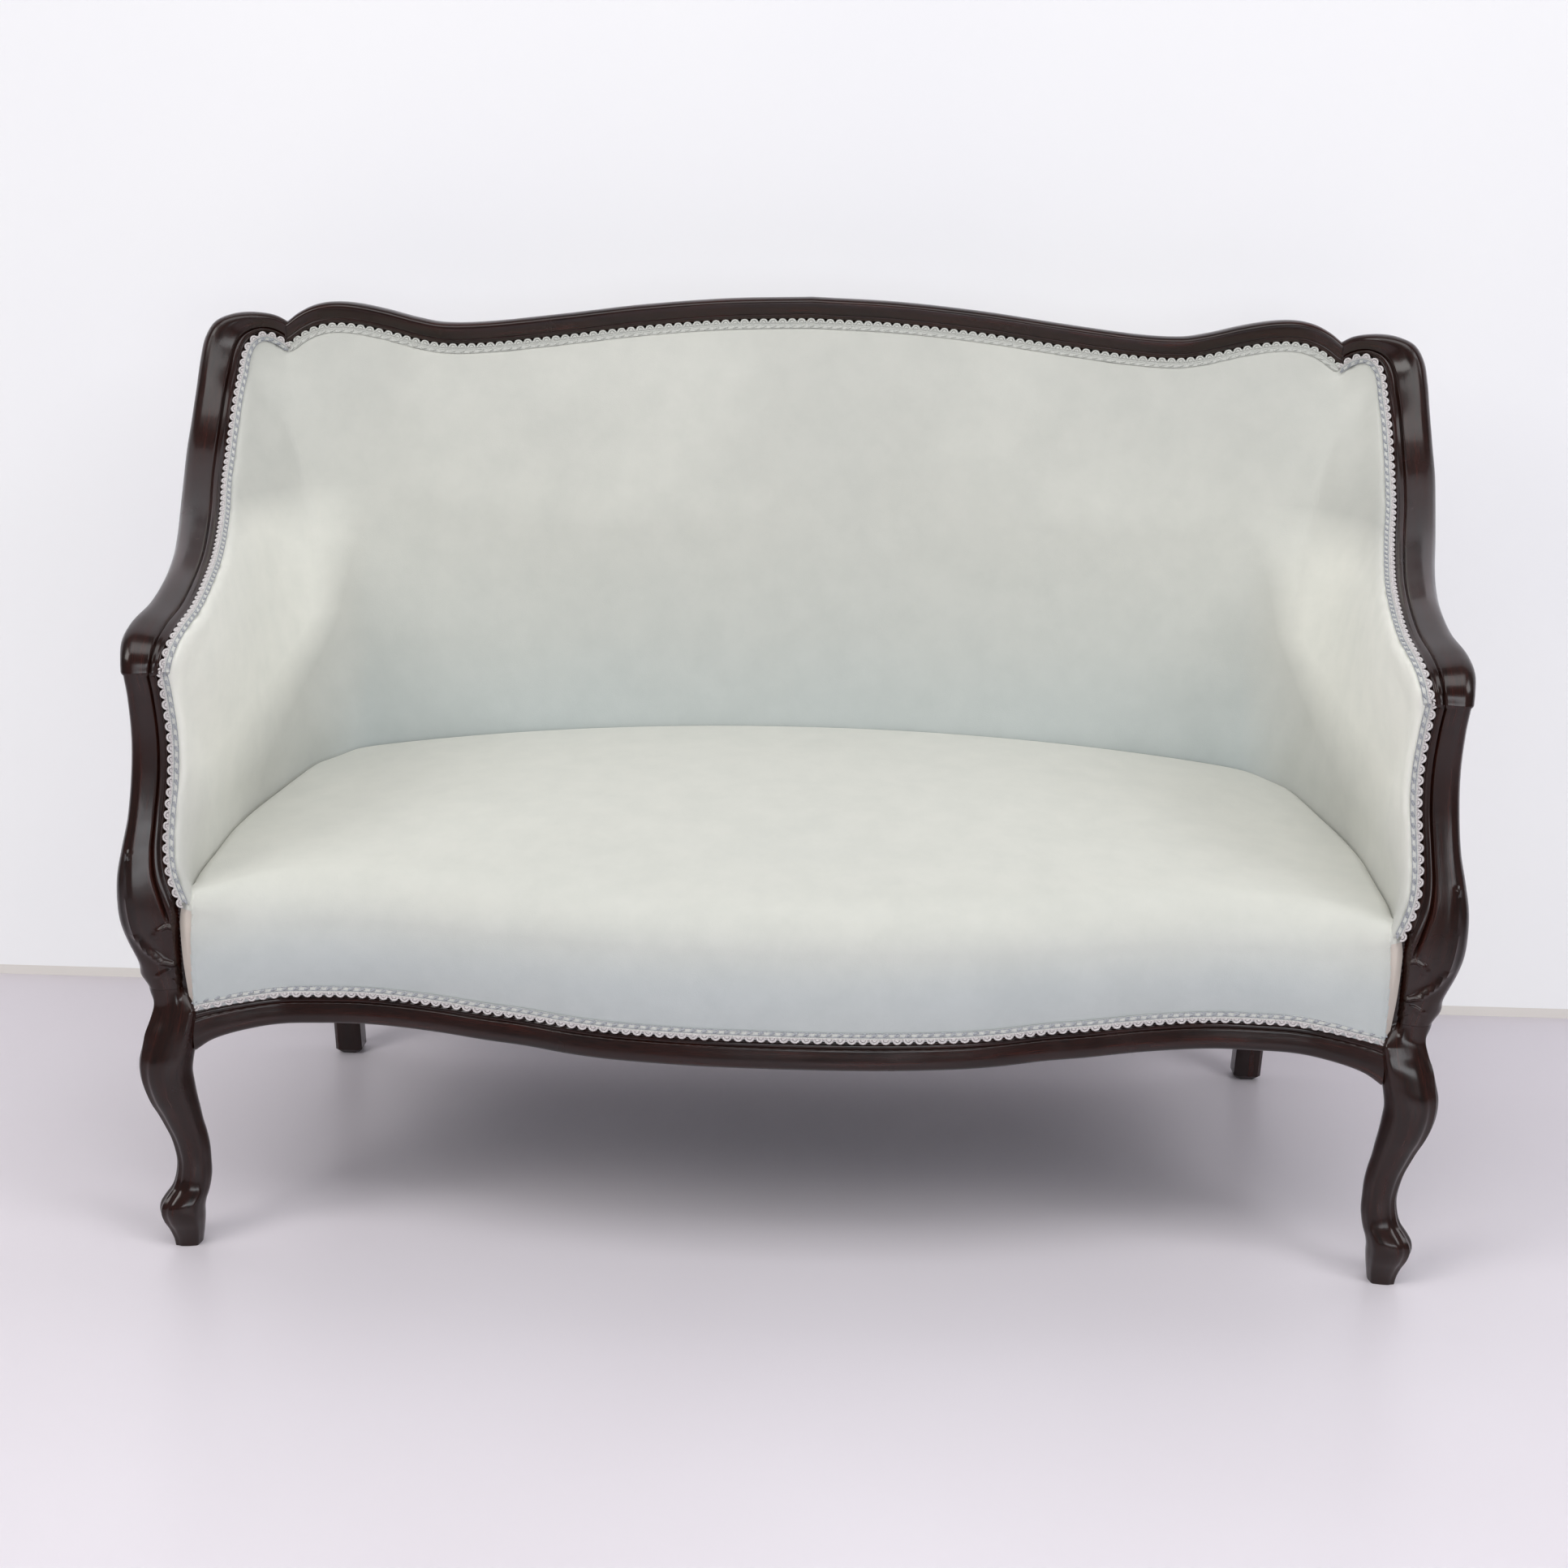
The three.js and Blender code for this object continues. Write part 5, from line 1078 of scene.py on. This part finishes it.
def seat_solid():
    rows = []
    close = np.linspace(0.975, 1, 9)[:-1]
    us = np.sort(np.concatenate([np.linspace(-1, 1, 201), close, -close]))
    for u in us:
        x0 = u * SEAT_SIDE_HALF
        y, z = front_at(x0)
        face = y - PAD_EDGE
        rounding = mix(SEAT_ROUND, CORNER_ROUND, float(ease(0.86, 1, abs(u))))
        top = seat_top(x0, y) - rounding
        profile = [(face + 2, z - 2), (face, z + 3)]
        for part in np.linspace(0, 1, 16):
            swell = math.sin(math.pi * min(1, part * 0.75 + 0.02)) ** 0.8
            profile.append((face - BORDER_SWELL * swell, mix(z + GIMP_WIDTH, top, part)))
        start_y = profile[-1][0]
        for part in np.linspace(0, 1, 14)[1:]:
            turn = part * math.pi / 2
            at = start_y + rounding * (1 - math.cos(turn))
            profile.append((at, top + math.sin(turn) * (seat_top(x0, at) - top)))
        rear = seat_rear(u * CREASE_HALF)
        for part in np.linspace(0, 1, 60)[1:]:
            at = mix(start_y + rounding, rear, 1 - (1 - part) ** 1.25)
            profile.append((at, seat_top(u * seat_half(at), at)))
        column = []
        for deep, up in profile:
            inside = float(ease(FRONT_Y, FRONT_Y + TUCK_BY, deep))
            x = u * mix(float(np.interp(up, *zip(*SIDE_EDGE))), seat_half(deep), inside)
            seam = float(np.interp(up, *zip(*SEAM_LINE)))
            on_border = float(ease(FRONT_Y + 10, FRONT_Y - 12, deep))
            beyond = max(0.0, abs(x) - seam)
            dip = SEAM_DEEP * bell(abs(x), seam, SEAM_WIDE)
            deep = deep + on_border * (BEYOND_SLOPE * beyond - dip)
            column.append(vec(x, deep, up))
        rows.append(column)
    front = np.array(rows)
    tucks = np.array([
        cover_tree.find_nearest(Vector(metres(point)))[3] or 1 for point in front.reshape(-1, 3)])
    tucks = (tucks / MM).reshape(front.shape[:2])
    near = np.clip(tucks, 0, SEAT_QUIRK)
    drop = SEAT_QUIRK - np.sqrt(SEAT_QUIRK ** 2 - (SEAT_QUIRK - near) ** 2)
    high = ease(340, 372, front[..., 2])
    front[..., 2] -= drop * high * ease(FRONT_Y + 6, FRONT_Y + 46, front[..., 1])
    back = front.copy()
    for row in back:
        for point in row:
            bed = front_at(point[0])[0] + RAIL_REBATE - FIT
            deep = max(point[1], bed)
            point[2] = min(point[2], RAIL_TOP + 3 * FIT + WEB + spring_rise(point[0], deep))
            point[1] = deep
    return grid_solid(front, back)


seat = add_mesh("seat_upholstery", *seat_solid())
seat_points = points_of(seat)
x, y, z = seat_points.T
tucked = distances(tree_of(points_of(cover)), seat_points)
top_part = ease(*TOP_SWELLS, z) * ease(*TOP_CLEAR, tucked)
border_part = BORDER_SHARE * ease(*BORDER_SWELLS, z) * ease(FRONT_Y + 20, FRONT_Y - 6, y)
from_seam = ease(*SEAM_CLEAR, np.abs(np.abs(x) - SEAM_AT)) * ease(FRONT_Y + 25, FRONT_Y, y)
set_points(seat, filled_out(seat, np.maximum(top_part, border_part * from_seam)))
for made in (cover, seat):
    made.data.shade_smooth()
finished(cover, cut_velvet, "velvet", "back_pad", "arm_pad_right", "arm_pad_left")
finished(seat, seat_velvet, "velvet", "seat_pad")
seat.data.materials.append(strip_velvet)
seat_points = points_of(seat)
for face in seat.data.polygons:
    x, y, z = seat_points[list(face.vertices)].mean(axis=0)
    seam = float(np.interp(z, *zip(*SEAM_LINE)))
    if y < FRONT_Y + STRIP_DEPTH and z < STRIP_TOP and abs(x) > seam + STRIP_GAP:
        face.material_index = 1


# Scroll gimp: a woven ribbon, scalloped cord beside the wood and long stitches beside the cloth

SCALLOP_PITCH, SCALLOP_REACH, STITCH_PITCH, STITCH_LONG = 10.8, 3.8, 10.8, 5.2
CORD, FINE_CORD, RIBBON, GIMP_LAP = 1.2, 0.5, 1.3, 1.6
SCALLOP_CORE, SCALLOP_FOOT, ROPE_STEP = 1.3, 1.0, 3
# Place across, rise and cotton of each fine cord; low and high edge of each half of the ribbon,
# with the share of its thickness on the low side
FINE_CORDS = [(-4.9, 0.2, "Stitch"), (-1.2, 0.8, "Stitch"), (0.6, RIBBON, "Scallop")]
WOOD_HALF, CLOTH_HALF = (0.4, 2.4, 0.8), (-5.3, 0.4, 0.2)
CREST_END, FRONT_END = 2.5, 3  # how far the gimp stops short of the wood's ends


def socket_key(tree, name):
    return next(item.identifier for item in tree.interface.items_tree if item.name == name)


def gimp_tree():
    tree = bpy.data.node_groups.new("scroll_gimp", "GeometryNodeTree")
    sockets = [
        ("Path", "Geometry", None), ("Scallop Pitch", "Float", SCALLOP_PITCH),
        ("Scallop Reach", "Float", SCALLOP_REACH), ("Stitch Pitch", "Float", STITCH_PITCH),
        ("Cord", "Float", CORD), ("Scallop Cotton", "Material", None),
        ("Stitch Cotton", "Material", None)]
    for name, kind, size in sockets:
        socket = tree.interface.new_socket(name, in_out="INPUT", socket_type="NodeSocket" + kind)
        if size is not None:
            socket.default_value = size * MM
    tree.interface.new_socket("Gimp", in_out="OUTPUT", socket_type="NodeSocketGeometry")
    given = node(tree, "NodeGroupInput").outputs
    path = node(tree, "GeometryNodeMeshToCurve", {"Mesh": given["Path"]})
    face = node(tree, "GeometryNodeInputNamedAttribute", {"Name": "face"}, data_type="FLOAT_VECTOR")
    run = node(tree, "GeometryNodeInputTangent")
    upright = node(tree, "FunctionNodeAlignRotationToVector", {"Vector": face}, axis="Z")
    turned = node(tree, "FunctionNodeAlignRotationToVector", {
        "Rotation": upright, "Vector": run}, axis="X", pivot_axis="Z")

    def laid(shape, pitch, cotton):
        """One shape after another along the path, each turned to lie on the wood."""
        spots = node(tree, "GeometryNodeResampleCurve", {
            "Curve": path, "Length": pitch}, mode="LENGTH")
        many = node(tree, "GeometryNodeInstanceOnPoints", {
            "Points": spots, "Instance": shape, "Rotation": turned})
        real = node(tree, "GeometryNodeRealizeInstances", {"Geometry": many})
        return node(tree, "GeometryNodeSetMaterial", {"Geometry": real, "Material": cotton})

    cord = node(tree, "GeometryNodeCurvePrimitiveCircle", {
        "Resolution": 6, "Radius": given["Cord"]})
    arc = node(tree, "GeometryNodeCurveArc", {
        "Resolution": 9, "Radius": given["Scallop Reach"],
        "Start Angle": 0.0, "Sweep Angle": math.pi})
    core = node(tree, "GeometryNodeCurveArc", {
        "Resolution": 6, "Radius": SCALLOP_CORE * MM, "Start Angle": 0.0, "Sweep Angle": math.pi})
    loops = node(tree, "GeometryNodeJoinGeometry")
    for part in (core, arc):
        tree.links.new(part.outputs[0], loops.inputs[0])
    scallop = node(tree, "GeometryNodeCurveToMesh", {
        "Curve": loops, "Profile Curve": cord, "Fill Caps": True})
    scallop = node(tree, "GeometryNodeTransform", {
        "Geometry": scallop, "Translation": (0.0, SCALLOP_FOOT * MM, RIBBON * MM)})
    line = node(tree, "GeometryNodeCurvePrimitiveLine", {
        "Start": (-STITCH_LONG / 2 * MM, -4.0 * MM, 0.5 * MM),
        "End": (STITCH_LONG / 2 * MM, -2.2 * MM, 0.8 * MM)})
    stitch = node(tree, "GeometryNodeCurveToMesh", {
        "Curve": line, "Profile Curve": cord, "Fill Caps": True})
    pieces = [laid(scallop, given["Scallop Pitch"], given["Scallop Cotton"]),
              laid(stitch, given["Stitch Pitch"], given["Stitch Cotton"])]
    fine = node(tree, "GeometryNodeCurvePrimitiveCircle", {
        "Resolution": 6, "Radius": FINE_CORD * MM})
    across = node(tree, "ShaderNodeVectorMath", {0: face, 1: run}, operation="CROSS_PRODUCT")
    spots = node(tree, "GeometryNodeResampleCurve", {
        "Curve": path, "Length": ROPE_STEP * MM}, mode="LENGTH")
    for off, rise, cotton in FINE_CORDS:
        shift = node(tree, "ShaderNodeVectorMath", {
            0: across, "Scale": off * MM}, operation="SCALE")
        lift = node(tree, "ShaderNodeVectorMath", {0: face, "Scale": rise * MM}, operation="SCALE")
        both = node(tree, "ShaderNodeVectorMath", {0: shift, 1: lift}, operation="ADD")
        beside = node(tree, "GeometryNodeSetPosition", {"Geometry": spots, "Offset": both})
        rope = node(tree, "GeometryNodeCurveToMesh", {
            "Curve": beside, "Profile Curve": fine, "Fill Caps": True})
        pieces.append(node(tree, "GeometryNodeSetMaterial", {
            "Geometry": rope, "Material": given[cotton + " Cotton"]}))
    whole = node(tree, "GeometryNodeJoinGeometry")
    for piece in pieces:
        tree.links.new(piece.outputs[0], whole.inputs[0])
    node(tree, "NodeGroupOutput", {"Gimp": whole})
    return tree


scroll_gimp = gimp_tree()


def gimp(name, stations, white, lilac, *nodes):
    """Gimp along stations of place, way to the wood and way proud."""
    places, woods, faces = (np.array(part, float) for part in zip(*stations))
    runs = np.gradient(places, axis=0)
    if np.einsum("ij,ij->i", np.cross(faces, runs), woods).sum() < 0:
        places, woods, faces = places[::-1], woods[::-1], faces[::-1]
    halves = []
    for (low, high, thin), material in ((WOOD_HALF, white), (CLOTH_HALF, gimp_crest)):
        rings = []
        for place, wood, face in zip(places, woods, faces):
            outline = [(low, -0.4), (high, -0.4), (high, RIBBON * 0.8), (low, RIBBON * thin)]
            rings.append([place + wood * out + face * up for out, up in outline])
        half = loft(f"{name}_half", rings, 30)
        half.data.materials.append(material)
        halves.append(half)
    mesh = bpy.data.meshes.new(name + "_path")
    mesh.from_pydata(metres(places).tolist(), [(n, n + 1) for n in range(len(places) - 1)], [])
    layer = mesh.attributes.new("face", "FLOAT_VECTOR", "POINT")
    layer.data.foreach_set("vector", faces.ravel())
    trim = bpy.data.objects.new(name + "_trim", mesh)
    scene.collection.objects.link(trim)
    change = trim.modifiers.new("scroll_gimp", "NODES")
    change.node_group = scroll_gimp
    change[socket_key(scroll_gimp, "Scallop Cotton")] = white
    change[socket_key(scroll_gimp, "Stitch Cotton")] = lilac
    live_mesh(trim)
    trim.data.shade_smooth()
    piece = joined(name, [trim, *halves])
    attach(piece, "root")
    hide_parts(*nodes)


def gimp_station(place, depth):
    _, across, proud, _ = place
    return bed_point(place, depth, GIMP_WIDTH / 2 - GIMP_LAP, PAD_EDGE + 0.6), across, proud


def front_station(x):
    y, z = front_at(x)
    return vec(x, y - PAD_EDGE - 1.2, z + GIMP_WIDTH / 2 - GIMP_LAP), vec(0, 0, -1), vec(0, -1, 0)


crest_line = [gimp_station(crest_frame(x), CREST_DEPTH)
              for x in np.linspace(-1, 1, 241) * (NOTCH_HALF - CREST_END)]
arm_line = []
for share in np.linspace(0.002, 0.981, 300):
    *place, depth = arm_station(share)
    arm_line.append(gimp_station(place, depth))
left_line = [tuple(mirrored(part) for part in station) for station in arm_line]
front_line = [front_station(x) for x in np.linspace(-1, 1, 241) * (RAIL_HALF - FRONT_END)]
gimp("crest_gimp", crest_line, gimp_crest, gimp_crest_dark, "crest_braid")
gimp("arm_gimp_right", arm_line, gimp_white, gimp_lilac, "arm_braid_right")
gimp("arm_gimp_left", left_line, gimp_white, gimp_lilac, "arm_braid_left")
gimp("front_gimp", front_line, gimp_white, gimp_lilac, "front_braid")


# Outside cloths and dust cover: flat cloth cut to shape and stretched over the frame

OUTSIDE_ALONG = [0.02, 0.09, 0.15, 0.22, 0.3, 0.38, 0.474, 0.56, 0.66, 0.77, 0.9]
TACKED = (0.06, 0.74)  # place of the cloth's edge across the rail, at the notch and further on
BACK_SLACK, BACK_HEAD = 1.6, 0.56


def side_rail_outer(y):
    share = (y - FRONT_Y) / (REAR_RAIL_Y - FRONT_Y)
    rear = upright_at(RAIL_MIDDLE)[0] + REAR_LEG / 2 - REAR_LEG / 8
    bow = 0.1 * RAIL_THICK * math.sin(math.pi * clamp(share))
    return mix(FRONT_FOOT_HALF + 0.35 * LEG_BLOCK, rear, share) + bow


def outside_back_grid():
    columns = []
    for across in np.linspace(-1, 1, 61):
        foot = across * (upright_at(OUTSIDE_LOW)[0] + REAR_LEG / 2 - 2 * FIT)
        head = across * (NOTCH_HALF - 2 * PAD_SETBACK)
        top = crest_frame(head)[0][2] + CREST_BAND * BACK_HEAD
        column = []
        for z in np.linspace(OUTSIDE_LOW, top, 46):
            share = (z - OUTSIDE_LOW) / (top - OUTSIDE_LOW)
            slack = BACK_SLACK * (1 - across ** 4) * math.sin(math.pi * share) ** 0.7
            column.append(vec(mix(foot, head, share), frame_back(z) + FIT + 1.4 - slack * 0.6, z))
        columns.append(column)
    return np.array(columns)


def outside_arm_grid():
    columns = []
    for at in np.linspace(0, len(OUTSIDE_ALONG) - 1, 56):
        along = float(np.interp(at, range(len(OUTSIDE_ALONG)), OUTSIDE_ALONG))
        inner, across, proud, width = wing_frame(along)
        head = inner + across * mix(*TACKED, min(1, at / 4)) * width
        head = head - proud * (EDGE_SHARE * ARM_DEPTH + 2 * FIT)
        share = ((along - OUTSIDE_ALONG[0]) / (OUTSIDE_ALONG[-1] - OUTSIDE_ALONG[0])) ** 1.3
        y = mix(REAR_RAIL_Y + REAR_LEG / 4, FRONT_Y + LEG_BLOCK / 2, share)
        foot = vec(side_rail_outer(y) + 2 * FIT, y, OUTSIDE_LOW)
        columns.append([mix(head, foot, down) for down in np.linspace(0, 1, 40)])
    return np.array(columns)


DUST_INSET = 6


def dust_cover_grid():
    z = RAIL_BOTTOM - 2 * FIT - WEB
    rear = upright_at(RAIL_MIDDLE)[1] - REAR_LEG / 2 - FIT
    columns = []
    for u in np.linspace(-1, 1, 91):
        about = abs(u) * (side_rail_outer(0) - DUST_INSET)
        near = front_at(about)[0] + RAIL_REBATE + RAIL_THICK - DUST_INSET
        if about >= RAIL_HALF - 3 * RAIL_THICK:
            near = FRONT_Y + LEG_BLOCK + 8
        between_legs = about < side_rail_outer(rear) - DUST_INSET - REAR_LEG
        far = rear + (REAR_LEG / 2 if between_legs else -REAR_LEG / 2)
        columns.append([
            vec(u * (side_rail_outer(y) - DUST_INSET), y, z) for y in np.linspace(near, far, 40)])
    return np.array(columns)


def stretched(name, grid, way, thick, material, slot, *nodes):
    made = add_mesh(name, *grid_solid(grid, grid + np.array(way) * thick))
    finished(made, material, slot, *nodes)


arm_grid = outside_arm_grid()
stretched("outside_back_cloth", outside_back_grid(), (0, 1, 0), CLOTH, cut_velvet, "velvet",
          "outside_back")
for side, out, grid in (("right", 1, arm_grid), ("left", -1, mirrored(arm_grid))):
    stretched(f"outside_arm_cloth_{side}", grid, (out, 0, 0), CLOTH, cut_velvet, "velvet",
              f"outside_arm_{side}")
stretched("dust_cover_cloth", dust_cover_grid(), (0, 0, 1), WEB, cambric, "black_cotton",
          "dust_cover")


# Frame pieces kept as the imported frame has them

def dress(names, material):
    for name in names:
        made = bpy.data.objects[name]
        made.data.materials.clear()
        made.data.materials.append(material)


dress(["rear_upright_right", "rear_upright_left"], polished_tall)
dress(["side_seat_rail_right", "side_seat_rail_left"], polished_long)
dress(["rear_seat_rail", "back_tacking_rail", "back_centre_upright", "seat_stretcher"],
      planed_beech)
dress([f"{name}_{side}" for name in ("arm_tacking_rail", "front_corner_block", "rear_corner_block")
       for side in ("right", "left")], planed_beech)
dress(["seat_webbing", "back_webbing", "spring_hessian"], jute)
dress([f"seat_spring_{n}" for n in range(1, 13)], wire)


# Stage, light and camera

def stage_sheet(name, corners, light, dark, rough, lit, one_sided=False):
    mesh = bpy.data.meshes.new(name)
    mesh.from_pydata([Vector(c) for c in corners], [], [(0, 1, 2, 3)])
    made = bpy.data.objects.new(name, mesh)
    scene.collection.objects.link(made)
    material, tree, place = new_material(name + "_paint")
    cloud = node(tree, "ShaderNodeTexNoise", {"Vector": place, "Scale": 1.3, "Detail": 2.0})
    colour = node(tree, "ShaderNodeValToRGB", {"Fac": cloud}, stops=[(0.3, dark), (0.7, light)])
    shader = node(tree, "ShaderNodeBsdfPrincipled", {"Base Color": colour, "Roughness": rough})
    glow = node(tree, "ShaderNodeEmission", {"Color": colour, "Strength": 1.0})
    seen = node(tree, "ShaderNodeLightPath").outputs["Is Camera Ray"]
    part = node(tree, "ShaderNodeMath", {0: seen, 1: lit}, operation="MULTIPLY")
    end = node(tree, "ShaderNodeMixShader", {0: part, 1: shader, 2: glow})
    if one_sided:
        clear = node(tree, "ShaderNodeBsdfTransparent")
        back = node(tree, "ShaderNodeNewGeometry").outputs["Backfacing"]
        end = node(tree, "ShaderNodeMixShader", {0: back, 1: end, 2: clear})
    node(tree, "ShaderNodeOutputMaterial", {"Surface": end})
    mesh.materials.append(material)


WALL_Y = 0.47
SKIRTING_Y = WALL_Y - 0.005
stage_sheet("floor", [(-6, -6, 0), (6, -6, 0), (6, 6, 0), (-6, 6, 0)],
            "f0eaf0", "e9e2e8", 0.32, 0.0)
stage_sheet("wall", [(-4, WALL_Y, 0), (4, WALL_Y, 0), (4, WALL_Y, 3.2), (-4, WALL_Y, 3.2)],
            "fbfafc", "f7f6fa", 0.7, 0.5, one_sided=True)
stage_sheet("skirting", [(-4, SKIRTING_Y, 0), (4, SKIRTING_Y, 0), (4, SKIRTING_Y, 0.013),
            (-4, SKIRTING_Y, 0.013)], "e8e3df", "e3ddd9", 0.6, 0.4, one_sided=True)


def softbox(name, place, target, width, height, watts, colour):
    light = bpy.data.lights.new(name, "AREA")
    light.shape, light.size, light.size_y = "RECTANGLE", width, height
    light.energy, light.color = watts, colour
    lamp = bpy.data.objects.new(name, light)
    scene.collection.objects.link(lamp)
    lamp.location = place
    lamp.rotation_mode = "QUATERNION"
    lamp.rotation_quaternion = (Vector(target) - Vector(place)).to_track_quat("-Z", "Y")


softbox("left_softbox", (-2.2, -1.9, 2.4), (0.2, 0, 0.5), 1.4, 1.4, 32, (1, 0.99, 0.97))
softbox("right_softbox", (2.3, -1.8, 2.4), (-0.2, 0, 0.5), 1.4, 1.4, 28, (0.98, 0.985, 1))
softbox("top_softbox", (0, -1.2, 2.9), (0, 0, 0.3), 2.6, 1.2, 28, (1, 1, 1))
softbox("low_window", (0.4, -2.42, 0.74), (0.2, -0.27, 0.45), 1.3, 0.45, 8.5, (0.92, 0.96, 1))

world = bpy.data.worlds.new("studio")
scene.world = world
world.use_nodes = True
world.node_tree.nodes.clear()
tree = world.node_tree
seen = node(tree, "ShaderNodeLightPath").outputs["Is Camera Ray"]
glow = node(tree, "ShaderNodeBackground", {"Color": linear("e9ecf2"), "Strength": 0.26})
white = node(tree, "ShaderNodeBackground", {"Color": linear("f4f4f6"), "Strength": 1.0})
both = node(tree, "ShaderNodeMixShader", {0: seen, 1: glow, 2: white})
node(tree, "ShaderNodeOutputWorld", {"Surface": both})

CAMERA_PLACE = Vector((0.05439, -2.25037, 1.03975))
YAW, PITCH, ROLL = 0.0300, 0.2686, 0.0180
ahead = Vector((
    -math.sin(YAW) * math.cos(PITCH), math.cos(YAW) * math.cos(PITCH), -math.sin(PITCH)))
side = Vector((math.cos(YAW), math.sin(YAW), 0))
over_head = side.cross(ahead)
right = side * math.cos(ROLL) + over_head * math.sin(ROLL)
above = over_head * math.cos(ROLL) - side * math.sin(ROLL)
lens = bpy.data.cameras.new("camera")
lens.lens, lens.sensor_width, lens.sensor_height, lens.sensor_fit = 50.0, 36, 36, "AUTO"
camera = bpy.data.objects.new("camera", lens)
scene.collection.objects.link(camera)
turned = Matrix((right, above, -ahead)).transposed().to_4x4()
camera.matrix_world = Matrix.Translation(CAMERA_PLACE) @ turned
scene.camera = camera
